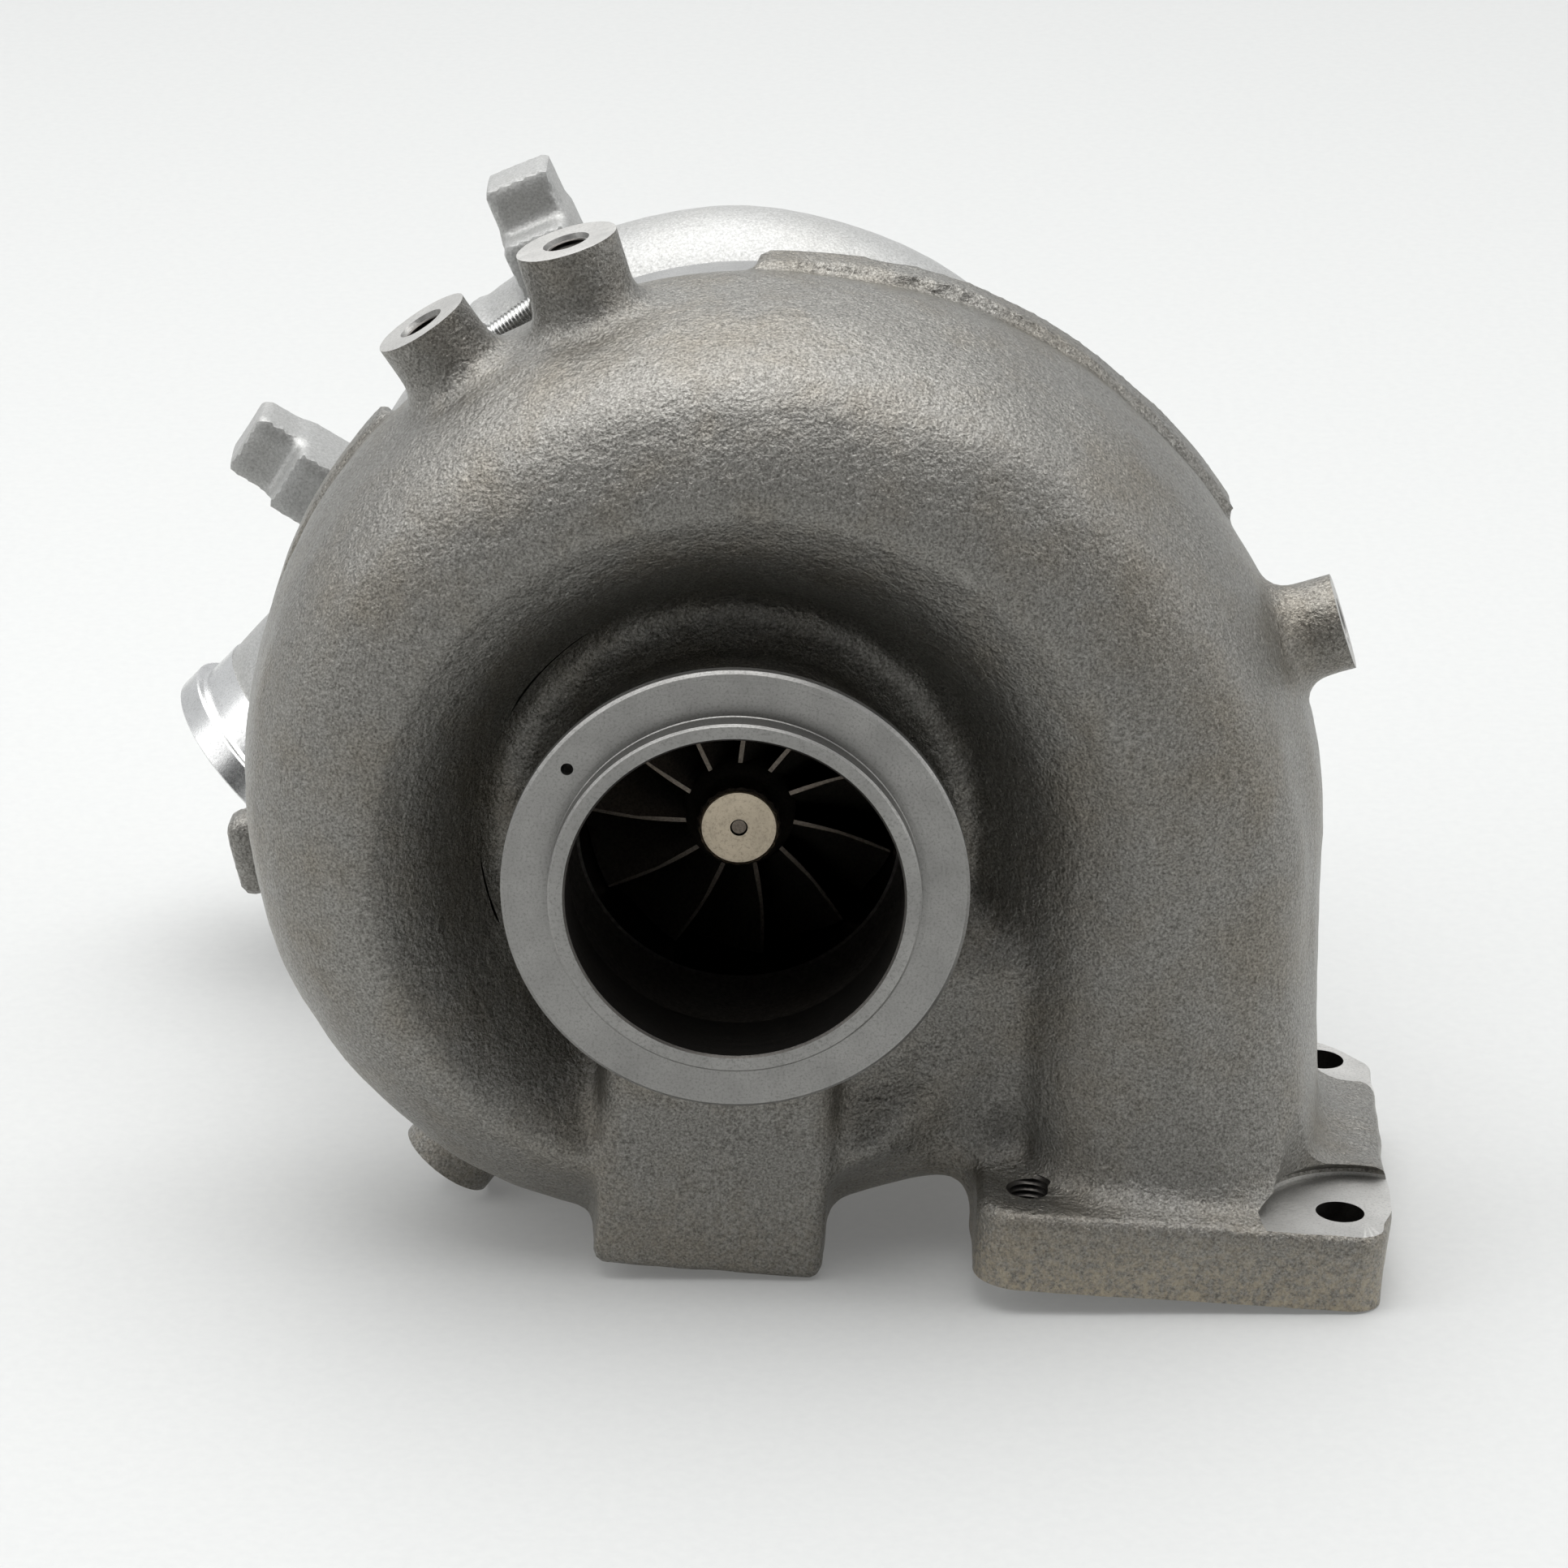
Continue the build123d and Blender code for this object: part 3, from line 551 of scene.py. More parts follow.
def volute_section(ro):
    """Outside of the volute at one angle, as (radius, station)."""
    front, crest = volute_front(ro), 0.5 * (60 + ro) - 1
    reach = crest - 56
    return closed_spline([(50, 50), (56, front + 29), (56 + 0.35 * reach, front + 13),
                          (56 + 0.68 * reach, front + 3.5), (crest, front),
                          (ro - 12, front + 9), (ro - 3, 34), (ro, 54), (ro - 1.2, 74),
                          (ro - 8, VOLUTE_BACK - 3), (crest, VOLUTE_BACK), (62, VOLUTE_BACK), (50, 76)])


def volute_shape():
    """Inlet duct from the flange up to the first volute section, then the volute."""
    top = np.array(on_shaft_plane(volute_section(VOLUTE_R[0]), 0))
    count = len(top)
    low = []
    for k in range(count):
        a = math.radians(187 + 360 * k / count)
        c, s = math.cos(a), math.sin(a)
        low.append((PORT_X + 33 * math.copysign(abs(c) ** 0.62, c),
                    PORT_Y + 50 * math.copysign(abs(s) ** 0.62, s)))
    rings = []
    for k in range(16):
        t = 1 - k / 16
        blend = t ** 1.4
        rings.append([(lx * blend + p[0] * (1 - blend), ly * blend + p[1] * (1 - blend), -76 * t)
                      for (lx, ly), p in zip(low, top)])
    for angle in range(0, 346, 3):
        shrink = 1 - 0.011 * max(0, angle - 300)
        section = volute_section(curve(VOLUTE_ANGLE, VOLUTE_R, min(angle, VOLUTE_ANGLE[-1])))
        section = [(68 + (r - 68) * shrink, 55 + (y - 55) * shrink) for r, y in section]
        rings.append(on_shaft_plane(section, angle))
    return loft(rings)


def gas_passage(front):
    """One of the two passages from an inlet port round to the wheel."""
    rings = []
    port_y = PORT_Y + (-21.5 if front else 21.5)
    for z, sx, sy, corner in ((FLANGE_BOTTOM - 2, 50, 31, 8), (-80, 50, 31, 8), (-71, 46, 29, 12)):
        rings.append([(PORT_X + px, port_y + py, z) for px, py in rounded_rectangle(sx, sy, corner)][::-1])
    for angle in range(0, 301, 10):
        ro = curve(VOLUTE_ANGLE, VOLUTE_R, angle)
        low, high = (volute_front(ro) + 15, 46.0) if front else (52.0, 82.5)
        inner = 66 if front else 62
        width = ro - 8.8 - inner
        ring = [(inner + width / 2 + px, (low + high) / 2 + py)
                for px, py in rounded_rectangle(width, high - low, 0.46 * min(width, high - low))]
        rings.append(on_shaft_plane(ring, angle)[::-1])
    return loft(rings)


def seam_ridge(c, angles, radii, inner, station, slope):
    """Raised seam of rough metal along the rear edge, between the first and last angle."""
    angle = np.degrees(np.arctan2(c.z, c.x)) % 360
    r = np.sqrt(c.x ** 2 + c.z ** 2)
    past_end = np.maximum(angles[0] - angle, angle - angles[-1]) * slope
    past_side = np.maximum(np.abs(c.y - station) - 4.5, past_end)
    return np.maximum(np.maximum(r - np.interp(angle, angles, radii), inner - r), past_side)


def turbine_housing_casting():
    """The raw casting: volute, web, tongue, foot, flange, bosses, tab and seams."""
    c = Casting((-126, -11, -112), (158, 112, 140), 1.5)
    c.add(c.shape(volute_shape()), 0)
    c.add(c.turned([(-30, 4), (44.5, 4), (45.2, 30), (50, 40), (56, 60), (60, 84), (-30, 84)]), 14)
    # tongue between the outlet and the inlet duct, and the web behind it
    c.add(c.box((14, 22, -77.5), (69, 88, -16), 11), 9)
    c.add(c.box((12, 46, -84), (72, 86, -30), 8), 12)
    # foot
    c.add(c.box((-26.8, 10, -97.6), (25.2, 62, -38), 3.2), 5)
    c.smooth((-56, -6, -70), (62, 80, -20), 8)
    # inlet flange and the raised pad round the duct
    c.add(c.plate((58.2, -7.6, -92), (150.1, 105.6, -69.6), (11, 7, 19, 10), 2.4), 9)
    c.add(c.box((112, 8, -84), (149.4, 90, -68.3), 1.6), 7)
    for angle, end, y, height, _ in BOSSES:
        c.add(c.rod(polar(end - height, angle, y), polar(1, angle), BOSS_R, height + 2), 6.5)
    # rear tab
    c.add(c.box((98, 83, -10), (121, 94.5, 9), 3, 197), 5)
    c.add(seam_ridge(c, (33, 42, 51, 64, 74, 84, 92), (127.1, 126.2, 125.3, 124.6, 123.7, 122.0, 120.3),
                     100, 81.5, 2.1), 3)
    c.add(seam_ridge(c, (138, 150, 165, 178), (116.1, 115.2, 113.4, 111.6), 95, 83, 2.0), 3)
    c.ripple(38, 0.28, 3)
    c.ripple(13, 0.10, 5)
    return solid("turbine_housing_casting", c.polygons(), IRON, IRON_CUT)


def machined_faces(housing):
    """Turned flanges at both ends, trimmed boss ends and flange, and the nut seats."""
    outlet = revolve([(0, -5), (40.5, -5), (41, -4.5), (41, -0.25), (41.2, 0), (50.8, 0), (OUTLET_R, 0.7),
                      (OUTLET_R, 2.6), (46.2, 8.2), (45.2, 12), (44, 22), (0, 22)], 192)
    rear = revolve([(0, 80), (71.6, 80), (72, 80.4), (72, 93.6), (71.6, REAR_FACE), (0, REAR_FACE)], 160)
    for flange in (outlet, rear):
        combine(housing, "UNION", [flange], IRON_CUT)
    trims = [revolve([(0, REAR_FACE), (72.5, REAR_FACE), (72.5, 120), (0, 120)], 96),
             box_shape((40, -20, -120), (170, 120, FLANGE_BOTTOM))]
    trims += [rod(polar(end, angle, y), polar(1, angle), 16, 12) for angle, end, y, _, _ in BOSSES]
    # the trimmed boss ends and flange bottom take the lighter machined iron: painted light
    combine(housing, "DIFFERENCE", trims, IRON_PAD_PAINTED_LIGHT)
    relief = revolve([(0, 1), (SEAT_R, 1), (24.5, 1.8), (21.2, 4.5), (20.4, 9), (20.6, 24), (21.0, 50),
                      (12, 66), (0, 70)], 96)
    spot = revolve([(0, 0), (SEAT_R, 0), (SEAT_R, 1.7), (0, 1.7)], 96)
    # the spot faces take the lighter machined iron: painted light
    for shape, material in ((relief, IRON), (spot, IRON_PAD_PAINTED_LIGHT)):
        seats = [aimed(shape, (SEAT_X, y, FLANGE_TOP - 0.3), (0, 0, 1)) for y in SEAT_Y]
        combine(housing, "DIFFERENCE", seats, material)


def hollows(housing):
    """Gas passages, then from the outlet inwards the bore, the cast step and the shroud."""
    for front in (True, False):
        # the passages are lined with the darker iron: painted shade
        combine(housing, "DIFFERENCE", [gas_passage(front)], IRON_PAINTED_SHADE)
    throat = [(58, 34), (66, 34), (66, 48), (60, 67.5), (64, 67.5), (64, 82), (46, 82), (46, 67.5),
              (52, 66.5)]
    mouth = [(0, -8), (37.7, -8), (37.7, -5), (OUTLET_BORE_R, -4.5), (OUTLET_BORE_R, 15), (0, 15)]
    cast_step = [(0, 14), (37.6, 14), (38.6, 17), (38.6, 32), (36.6, 38), (0, 38)]
    shroud = [(0, 37), (35.9, 37), (35.9, 56), (37.4, 61), (41, 65.5), (46, 67.5), (50, 67.5), (50, 82),
              (50.5, 82), (50.5, 86), (0, 86)]
    rear_seat = [(0, 85), (50.5, 85), (50.5, 86), (54.8, 86), (54.8, 120), (0, 120)]
    # the darker materials here are painted shade: cast iron for the throat and cast step, machined iron for
    # the bore and the shroud
    cuts = ((throat, 96, IRON_PAINTED_SHADE), (mouth, 192, BORE_CUT_PAINTED_SHADE), (cast_step, 128, IRON_PAINTED_SHADE),
            (shroud, 128, SHROUD_CUT_PAINTED_SHADE), (rear_seat, 128, IRON_CUT))
    for profile, steps, material in cuts:
        combine(housing, "DIFFERENCE", [revolve(profile, steps)], material)


def drilled_holes(housing):
    """Locating hole of the outlet flange, countersinks, boss threads and flange holes."""
    holes = [rod((-38.3, -1, 26.1), (0, 1, 0), 1.4, 7, 24)]
    countersink = revolve([(0, 0), (TAP_R + 1.7, 0), (TAP_R + 0.7, 1.9), (0, 1.9)], 32)
    holes += [aimed(countersink, polar(end + 0.9, angle, y), polar(-1, angle))
              for angle, end, y, _, _ in BOSSES]
    combine(housing, "DIFFERENCE", holes, IRON_CUT)
    taps = [threaded(polar(end + 0.5, angle, y), polar(-1, angle), TAP_R, depth + 0.5, 1.25, 0.7)
            for angle, end, y, _, depth in BOSSES]
    for sy in (-1, 1):
        y = PORT_Y + sy * BOLT_DY / 2
        taps.append(threaded((PORT_X - BOLT_DX / 2, y, FLANGE_BOTTOM - 1), (0, 0, 1), 4.25, 26, 1.5, 0.8))
        taps.append(rod((PORT_X + BOLT_DX / 2, y, FLANGE_BOTTOM - 1), (0, 0, 1), 5.5, 30))
    for angle in CLAMP_BOLT_ANGLES:
        taps.append(rod(polar(CLAMP_BOLT_CIRCLE, angle, 95), (0, -1, 0), 4.0, 19, 24))
    # the threads and bolt holes take the machined iron darkened with painted shade
    combine(housing, "DIFFERENCE", taps, BORE_CUT_PAINTED_SHADE)


def turbine_housing():
    housing = turbine_housing_casting()
    machined_faces(housing)
    hollows(housing)
    drilled_holes(housing)
    finish_piece(housing, "housing", "turbine_housing", "turbine_housing", "threaded_bosses", angle=36)


turbine_housing()

# ------------------------------------------------------------------ wheels
def blade_shape(hub, tip, turn, thick, steps=18, spans=10):
    """Twisted blade between a hub curve and a tip curve of (radius, station) points."""
    rows = []
    for side in (1, -1):
        for i in range(steps + 1):
            v = i / steps
            row = []
            for j in range(spans + 1):
                u = j / spans
                h = [curve(range(len(hub)), [p[k] for p in hub], v * (len(hub) - 1)) for k in (0, 1)]
                t = [curve(range(len(tip)), [p[k] for p in tip], v * (len(tip) - 1)) for k in (0, 1)]
                r, y = h[0] + (t[0] - h[0]) * u, h[1] + (t[1] - h[1]) * u
                edge = min(1.0, 0.35 + 5 * min(v, 1 - v))
                half = side * (thick[0] + (thick[1] - thick[0]) * u ** 0.7) * edge
                a = math.radians(turn(y))
                row.append((r * math.cos(a) - half * math.sin(a), y, r * math.sin(a) + half * math.cos(a)))
            rows.append(row)
    rings = [rows[i] + rows[i + steps + 1][::-1] for i in range(steps + 1)]
    return loft(rings)


BLADES = 11


def turbine_wheel():
    ys = (45, 50, 55, 60, 66, 73, 88)
    turns = (46, 32.5, 20, 10, 3, 0, 0)
    hub = [(11.0, 46.4), (11.2, 50), (11.4, 58), (12.2, 66), (17, 74.5), (25, 80.8), (33, 83.7), (41.6, 84.6)]
    tip = [(35.4, 49.5), (35.4, 53), (35.5, 57), (36.9, 61.5), (38.6, 64), (40.4, 66.2), (42.3, 68.2),
           (42.3, 69.0)]
    blade = blade_shape(hub, tip, lambda y: curve(ys, turns, min(max(y, 45), 88)), (1.35, 0.75))
    hub_profile = [(0, 39.2), (8.9, 39.2), (9.4, 40), (9.6, 43), (10.6, 44.6), (12.2, 46.2), (12.6, 50),
                   (12.6, 58), (13.8, 66), (18, 74.5), (26, 80.5),
                   (34, 83.4), (41.8, 84.3), (42.2, 84.9), (41.8, 85.5), (12, 87.5), (12, 89), (0, 89)]
    shapes = [revolve(hub_profile, 110)] + around(blade, BLADES, -14)
    wheel = solid("turbine_wheel_cast", joined(shapes), WHEEL)
    finish_piece(wheel, "rotor", "turbine_wheel", "turbine_wheel", angle=40)


def turbine_wheel_nose():
    """Scalloped rim, and the ground nose with its centre hole."""
    rings = []
    for y, r in ((38.5, 8.6), (38.15, 9.0), (38.6, 9.5), (41.5, 9.5), (44, 9.2)):
        ring = []
        for k in range(132):
            a = 2 * math.pi * k / 132
            scallop = 0.28 * (math.cos(BLADES * a) ** 2) * (1 if r > 8.8 else 0)
            ring.append(((r - scallop) * math.cos(a), y, (r - scallop) * math.sin(a)))
        rings.append(ring)
    rim = solid("turbine_wheel_rim", loft(rings), WHEEL)
    finish_piece(rim, "rotor", "turbine_wheel", "turbine_wheel", angle=40)
    plug = revolve([(0, 38.02), (8.35, 38.02), (8.6, 38.3), (8.6, 40), (0, 44)], 96)
    nose = solid("turbine_wheel_nose", plug, NOSE)
    centre = revolve([(0, 36), (2.6, 36), (2.6, 37.2), (1.1, 39.2), (1.1, 41.2), (0, 42)], 48)
    # the centre hole is cut in near-black machined iron: painted shade in the hole
    combine(nose, "DIFFERENCE", [centre], SHROUD_CUT_PAINTED_SHADE)
    finish_piece(nose, "rotor", "turbine_wheel", "turbine_wheel", angle=30)


def compressor_wheel():
    """Milled wheel with full blades and splitters between them."""
    back = 168.7
    ys = [back + d for d in (0, 6, 12, 19, 27, 41, 46)]
    turns = (100, 104, 111, 122, 138, 167, 178)
    hub = [(46.6, back + 0.9), (38, back + 2.4), (28, back + 6.8), (20, back + 14), (15, back + 23),
           (12, back + 32), (10.6, back + 40)]
    tip = [(46.7, back + 6.2), (42, back + 7.6), (38.2, back + 10.2), (35.0, back + 15.2), (33.6, back + 20),
           (33.3, back + 28), (33.3, back + 36)]
    short_hub, short_tip = hub[:5], tip[:4] + [(33.4, back + 23.5)]
    profile = [(5, back - 1.2), (14, back - 1.2), (15, back), (46.6, back), (47, back + 0.4),
               (46.9, back + 1.3), (36, back + 3), (26, back + 8), (18, back + 17), (13, back + 29),
               (11, back + 40), (10.4, back + 44), (5, back + 44)]
    shapes = [revolve(profile, 98)]
    for inner, outer, offset in ((hub, tip, 0), (short_hub, short_tip, 180 / 7)):
        blade = blade_shape(inner, outer, lambda y: curve(ys, turns, min(max(y, back), back + 46)),
                            (0.85, 0.38))
        shapes += around(blade, 7, offset)
    wheel = solid("compressor_wheel_milled", joined(shapes), WHEEL_ALLOY)
    finish_piece(wheel, "rotor", "compressor_wheel", "compressor_wheel", angle=40)


turbine_wheel()
turbine_wheel_nose()
compressor_wheel()

# ------------------------------------------------------------------ compressor cover
SCROLL_START, SCROLL_SPAN, SCROLL_WALL = 180, 320, 4.5
DIRECTION, SIDE = polar(1, 230), polar(1, 140)
PIPE_N, PIPE_Y, PIPE_CAST = 48.0, 208.5, 109.0
COVER_FACE = 168


def pipe_point(run, n=PIPE_N):
    return tuple(SIDE[i] * n + DIRECTION[i] * run + (PIPE_Y if i == 1 else 0) for i in range(3))


def scroll_shapes(extra):
    """Scroll and discharge pipe, grown by the wall thickness for the outside."""
    rings = []
    for k in range(65):
        share = k / 64
        r = 9.0 + 15.0 * share
        centre, y = 63.5 + 3.5 * share, 184.5 + r
        rings.append(on_shaft_plane(circle(48, (centre, y), r + extra), SCROLL_START + SCROLL_SPAN * share))
    start_r, end_r = 24 + extra, 26.0 if extra == 0 else 29.4
    runs, offsets = (-2, 26, 78, PIPE_CAST), (67.0, 64.8, 50.2, PIPE_N)
    radii = (start_r, 0.9 * start_r + 0.1 * end_r, 0.3 * start_r + 0.7 * end_r, end_r)
    pipe = []
    for run in np.linspace(-2, 113 if extra == 0 else 109, 24):
        centre = Vector(pipe_point(run, curve(runs, offsets, min(run, PIPE_CAST))))
        r = curve(runs, radii, min(run, PIPE_CAST))
        pipe.append([tuple(centre + a * Vector(SIDE) + b * UP) for a, b in circle(48, r=r)])
    return loft(rings), loft(pipe)


def compressor_cover():
    c = Casting((-146, 164, -108), (96, 278, 112), 1.5)
    scroll, pipe = scroll_shapes(SCROLL_WALL)
    c.add(c.shape(scroll), 0)
    c.add(c.shape(pipe), 5)
    c.add(c.turned([(-30, COVER_FACE), (84.5, COVER_FACE), (84.5, 171.6), (78, 174), (71, 178), (69, 190),
                    (60, 214), (56, 226), (49.2, 238), (49.2, 266), (-30, 266)]), 9)
    for x, z, angle in ((-53.2, 80.9, 117.0), (-105.5, 20.3, 152.0)):
        c.add(c.box((-32, 180.8, -8.1), (10.4, 206.4, 8.1), 1.6, angle, (x, z)), 5)
        c.add(c.box((-32, 189.6, -8.1), (22.5, 206.4, 8.1), 1.6, angle, (x, z)), 3)
    for k in range(6):
        c.add(c.box((44, 222, -2.2), (60, 250, 2.2), 1.6, 20 + 60 * k), 6)
    c.ripple(34, 0.22, 8)
    cover = solid("compressor_cover_casting", c.polygons(), ALLOY, ALLOY_CUT)
    rim = [(60, COVER_FACE), (85.7, COVER_FACE), (86, 168.3), (86, 171.4), (79, 174.3), (60, 174.3)]
    spigot = [(40, 248), (49.8, 248), (49.8, 264.5), (50.8, 266), (50.8, 270), (49.6, 272), (40, 272)]
    for profile in (rim, spigot):
        combine(cover, "UNION", [revolve(profile, 160)], ALLOY_CUT)
    end = aimed(revolve([(0, -4), (30, -4), (30, 5), (30.6, 5.8), (32.1, 5.8), (32.5, 6.2), (32.5, 12.1),
                         (32.1, 12.5), (0, 12.5)], 128), pipe_point(PIPE_CAST), DIRECTION)
    combine(cover, "UNION", [end], ALLOY_CUT)
    for hollow in scroll_shapes(0):
        combine(cover, "DIFFERENCE", [hollow], ALLOY)
    inlet = revolve([(0, 160), (68, 160), (68, 190), (60, 190), (58, 175.4), (48, 175.4), (39, 179),
                     (35.4, 184.4), (33.9, 191), (33.9, 208), (36, 214), (45.5, 246), (45.5, 290),
                     (0, 290)], 160)
    below_face = revolve([(0, 150), (110, 150), (110, COVER_FACE), (0, COVER_FACE)], 64)
    for cut in (rod(pipe_point(PIPE_CAST - 3), DIRECTION, 26.4, 30, 128), inlet, below_face):
        combine(cover, "DIFFERENCE", [cut], ALLOY_CUT)
    return finish_piece(cover, "housing", "compressor_cover", "compressor_cover")


compressor_cover()

# ------------------------------------------------------------------ bearing housing
def bearing_housing():
    c = Casting((-92, 84, -92), (92, 172, 92), 1.3)
    c.add(c.turned([(-30, 93), (46.5, 93), (46.5, 96), (43, 101), (36.5, 108), (34.5, 124), (36.5, 142),
                    (44, 151), (60, 156), (78, 158.5), (84, 161), (84, 167.5), (-30, 167.5)]), 0)
    c.add(c.box((-21, 109, 15), (21, 139, 51.4), 3.5), 8)
    c.add(c.box((-34, 107.5, -55.4), (34, 144, -15), 4.5), 9)
    for k in range(4):
        c.add(c.box((30, 120, -3), (74, 160, 3), 2, 45 + 90 * k), 7)
    c.ripple(24, 0.2, 12)
    body = solid("bearing_housing_casting", c.polygons(), IRON_ROUGH, IRON_CUT)
    turbine_flange = revolve([(0, 88), (54.2, 88), (54.5, 88.3), (54.5, 96), (0, 96)], 128)
    cover_flange = revolve([(0, 159), (79.5, 158.2), (86, 160.6), (86, COVER_FACE), (0, COVER_FACE)], 160)
    oil_pads = [box_shape((-20.4, 109.6, 46), (20.4, 138.4, 52)),
                box_shape((-33.2, 108.3, -56), (33.2, 143.2, -50))]
    for shapes in ([turbine_flange], [cover_flange], oil_pads):
        combine(body, "UNION", shapes, IRON_CUT)
    bore = revolve([(0, 80), (11.4, 80), (11.4, 100.2), (10.95, 100.2), (10.95, 145), (22, 145), (22, 152),
                    (36, 156), (36, 180), (0, 180)], 96)
    hollow_end = revolve([(50, 80), (50, 92), (11.5, 92), (11.5, 80)], 96)
    ring = revolve([(34, 166.2), (37.2, 166.2), (37.2, 167.6), (34, 167.6)], 96)
    groove = revolve([(77, 165.6), (80.6, 165.6), (80.6, 170), (77, 170)], 128)
    holes = [rod((0, 124, 53), (0, 0, -1), 6, 20, 32), rod((0, 124, -57), (0, 0, 1), 13, 40, 48)]
    for s in (-1, 1):
        holes.append(threaded((s * 15, 124, 53), (0, 0, -1), 3.4, 17, 1.25, 0.5, 24))
        holes.append(threaded((s * 25.4, 124, -57), (0, 0, 1), 4.25, 18, 1.5, 0.6, 24))
    for cuts in ([bore], [hollow_end], holes, [groove], [ring]):
        combine(body, "DIFFERENCE", cuts, IRON_CUT)
    return finish_piece(body, "housing", "bearing_housing", "bearing_housing")


bearing_housing()

# ------------------------------------------------------------------ V-band clamp and fasteners
BAND_TOP = 130.0                # angle of the upper joint between the halves
BAND_BOLT_R, BAND_MID = 95.4, 167


def band_ring(start, end, steps=88):
    """Rolled band with turned-in V flanks, from one angle to another."""
    section = [(82.6, 155.8), (87.3, 157.0), (90.4, 160.0), (90.4, 174.0), (87.3, 177.0), (82.6, 178.2),
               (82.3, 176.9), (86.6, 175.6), (88.8, 173.2), (88.8, 160.8), (86.6, 158.4), (82.3, 157.1)]
    return loft([on_shaft_plane(section, a) for a in np.linspace(start, end, steps)])


def band_half(side):
    start = BAND_TOP + (3.2 if side > 0 else 183.2)
    shapes = [band_ring(start, start + 173.6)]
    # folded trunnion loops at both ends
    for at, sign in ((start + 0.6, 1), (start + 173.0, -1)):
        ends = [[(x, y, z) for x, z in circle(28, (96.0, sign * 5.5), 4.9)] for y in (158.4, 175.6)]
        shapes.append(moved(loft(ends), swung(at)))
    which = "upper" if side > 0 else "lower"
    half = solid("v_band_rolled_" + which, joined(shapes), STAINLESS)
    finish_piece(half, "housing", "v_band_half_" + which, "v_band_half_" + which, angle=30)


def band_fasteners():
    bolts, nuts = [], []
    for turn in (0, 180):
        m = swung(BAND_TOP + turn)
        shank = threaded((BAND_BOLT_R, BAND_MID, -14), (0, 0, 1), 2.6, 36, 1.0, 0.45, 24)
        head = rod((BAND_BOLT_R, BAND_MID, -15.5), (0, 0, 1), 5.2, 4.6, 32, 0.5)
        bolts += [moved(shank, m), moved(head, m)]
        nut = hexagon((BAND_BOLT_R, BAND_MID, 11.6), (0, 0, 1), 10, 7.6)
        collar = rod((BAND_BOLT_R, BAND_MID, 10.6), (0, 0, 1), 5.6, 1.2, 32, 0.2)
        nuts += [moved(nut, m), moved(collar, m)]
    finish_piece(solid("v_band_t_bolts", joined(bolts), STEEL), "housing", "v_band_bolts", "v_band_bolts")
    finish_piece(solid("v_band_lock_nuts", joined(nuts), STEEL), "housing", "v_band_nuts", "v_band_nuts")


def clamp_bolts():
    shapes = []
    for angle in CLAMP_BOLT_ANGLES:
        head = hexagon(polar(CLAMP_BOLT_CIRCLE, angle, 100.8), (0, 1, 0), 13, 5.2, 0.8)
        washer = rod(polar(CLAMP_BOLT_CIRCLE, angle, 100), (0, 1, 0), 7.2, 0.9, 36, 0.2)
        shank = threaded(polar(CLAMP_BOLT_CIRCLE, angle, 81), (0, 1, 0), 3.55, 19.5, 1.25, 0.45, 24)
        shapes += [head, washer, shank]
    bolts = solid("clamp_hex_bolts", joined(shapes), DARK_STEEL)
    finish_piece(bolts, "housing", "clamp_bolts", "clamp_bolts")


for half_side in (1, -1):
    band_half(half_side)
band_fasteners()
clamp_bolts()

# ------------------------------------------------------------------ CAD pieces that stay
KEPT = {
    "rotor_shaft": STEEL, "heat_shield": STAINLESS, "turbine_seal_ring": STEEL, "clamp_plates": DARK_STEEL,
    "journal_bearing_turbine": BRONZE, "journal_bearing_compressor": BRONZE, "bearing_snap_rings": DARK_STEEL,
    "thrust_bearing": BRONZE, "thrust_pins": STEEL, "thrust_collar": STEEL, "oil_slinger": STEEL,
    "oil_baffle": STAINLESS, "seal_insert": ALLOY_CUT, "seal_insert_oring": RUBBER,
    "insert_snap_ring": DARK_STEEL, "compressor_seal_ring": STEEL, "compressor_nut": STEEL,
    "cover_oring": RUBBER,
}
for node_name, material in KEPT.items():
    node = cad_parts[node_name]
    node.data.materials.clear()
    node.data.materials.append(material)

# ------------------------------------------------------------------ floor, light and camera
FLOOR_NORMAL = Vector((-0.075, 0, 1)).normalized()     # it rests on the foot and the inlet flange
FLOOR_POINT = Vector((23.3, 0, -97.75)) * MM
FLOOR_RADII, FLOOR_SIDES = (0.4, 1.2, 4.0, 14.0), 64


def floor():
    mesh = bpy.data.meshes.new("floor")
    verts = [(0, 0, 0)] + [(x, y, 0) for r in FLOOR_RADII for x, y in circle(FLOOR_SIDES, r=r)]
    faces = []
    for k in range(FLOOR_SIDES):
        m = (k + 1) % FLOOR_SIDES
        faces.append((0, 1 + k, 1 + m))
        for i in range(1, 1 + (len(FLOOR_RADII) - 1) * FLOOR_SIDES, FLOOR_SIDES):
            faces.append((i + k, i + FLOOR_SIDES + k, i + FLOOR_SIDES + m, i + m))
    mesh.from_pydata(verts, [], faces)
    made = linked("floor", mesh)
    tilt = Vector((0, 0, 1)).rotation_difference(FLOOR_NORMAL)
    made.matrix_world = Matrix.Translation(FLOOR_POINT) @ tilt.to_matrix().to_4x4()
    n = Nodes("floor_paper")
    grain = n.noise(3, 2)
    base = colour_mix(n, n.span(grain, 0.3, 0.7, 0, 1), rgba(0.46, 0.465, 0.46), rgba(0.48, 0.485, 0.477))
    mesh.materials.append(n.set(Base_Color=base, Roughness=0.75, Emission_Color=rgba(1, 1, 0.985),
                                Emission_Strength=0.13))


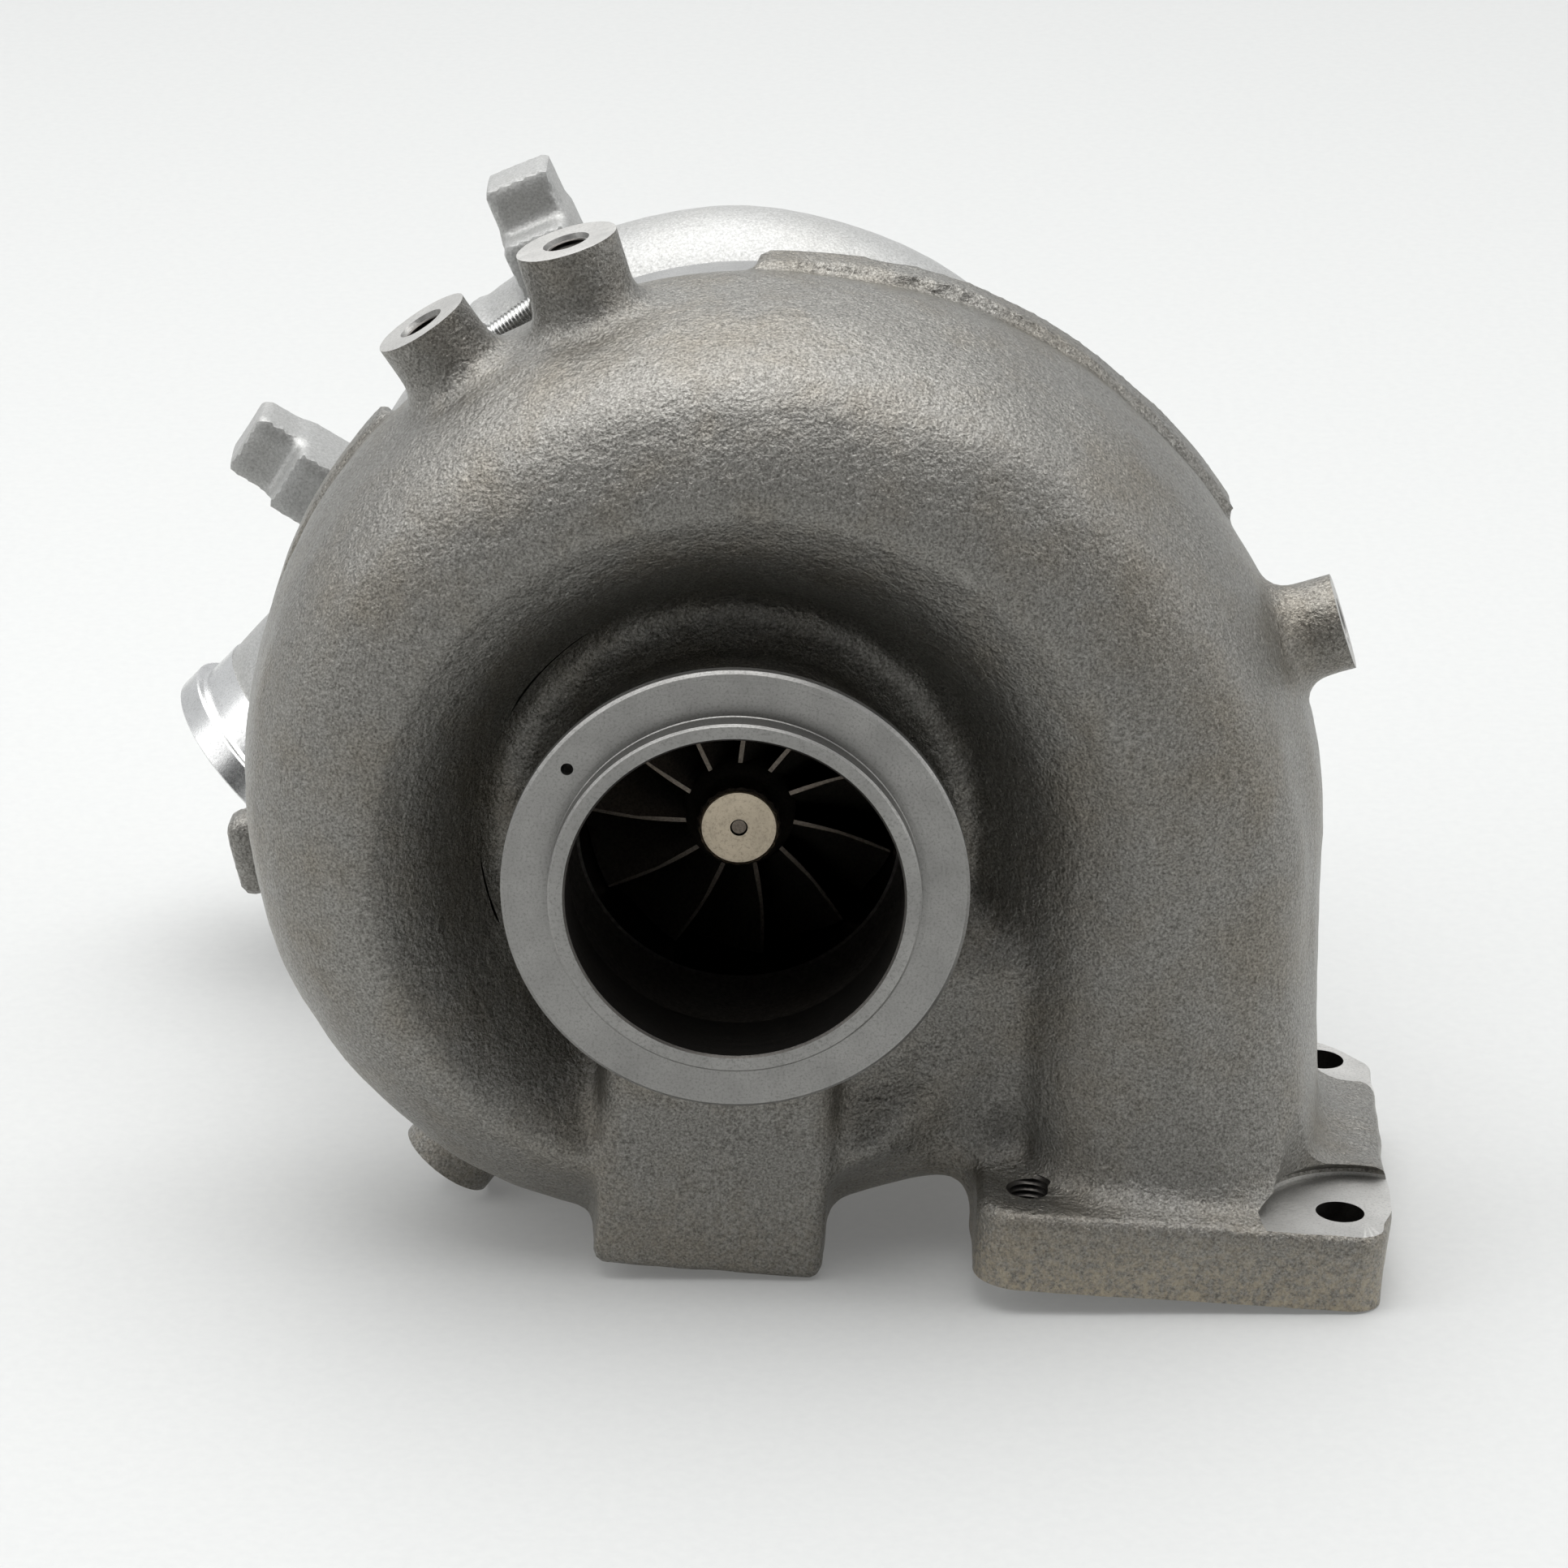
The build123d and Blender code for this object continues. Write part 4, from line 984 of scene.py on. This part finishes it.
def area_light(name, place, target, size, power, colour=(1, 1, 1)):
    data = bpy.data.lights.new(name, "AREA")
    data.shape, data.size, data.size_y = "RECTANGLE", size[0], size[1]
    data.energy, data.color = power, colour
    made = linked(name, data)
    made.location = place
    made.rotation_mode = "QUATERNION"
    made.rotation_quaternion = (Vector(target) - Vector(place)).to_track_quat("-Z", "Y")
    return made


def world_light():
    world = bpy.data.worlds.new("studio")
    bpy.context.scene.world = world
    world.use_nodes = True
    tree = world.node_tree
    back = tree.nodes["Background"]
    # darker towards the front, so that faces turned to the camera don't wash out
    place = tree.nodes.new("ShaderNodeTexCoord")
    split = tree.nodes.new("ShaderNodeSeparateXYZ")
    tree.links.new(place.outputs["Generated"], split.inputs[0])
    ramp = tree.nodes.new("ShaderNodeMapRange")
    for key, value in (("From Min", -0.75), ("From Max", 0.1), ("To Min", 0.05), ("To Max", 0.75)):
        ramp.inputs[key].default_value = value
    tree.links.new(split.outputs["Y"], ramp.inputs["Value"])
    tree.links.new(ramp.outputs["Result"], back.inputs["Strength"])
    back.inputs["Color"].default_value = rgba(0.97, 0.985, 1.0)


floor()
world_light()
area_light("top_softbox", (-0.3, 0.3, 1.7), (0, 0.1, 0), (2.2, 2.2), 50)
area_light("left_softbox", (-1.6, -0.3, 0.9), (0, 0.1, 0), (1.2, 1.2), 7)
area_light("right_softbox", (1.7, -0.1, 0.8), (0, 0.1, 0), (1.0, 1.2), 6)

def photo_camera():
    """Camera solved from the inlet flange's hole pattern, the outlet flange and the foot."""
    data = bpy.data.cameras.new("camera")
    data.lens, data.sensor_width, data.dof.use_dof = 167.7, 36.0, False
    data.clip_start, data.clip_end = 0.05, 60
    azimuth, pitch, roll = (math.radians(v) for v in (-0.493, 21.323, 3.959))
    ahead, flat = (Vector((math.cos(a), math.sin(a), 0)) for a in (azimuth + math.pi / 2, azimuth))
    look = ahead * math.cos(pitch) - Vector((0, 0, 1)) * math.sin(pitch)
    rise = flat.cross(look)
    right = flat * math.cos(roll) + rise * math.sin(roll)
    upward = rise * math.cos(roll) - flat * math.sin(roll)
    camera = linked("camera", data)
    camera.matrix_world = Matrix((right, upward, -look)).transposed().to_4x4()
    camera.location = Vector((-3.68, -1481.42, 604.31)) * MM
    bpy.context.scene.camera = camera


photo_camera()
bpy.context.scene.view_settings.view_transform = "Standard"

bpy.context.view_layer.update()
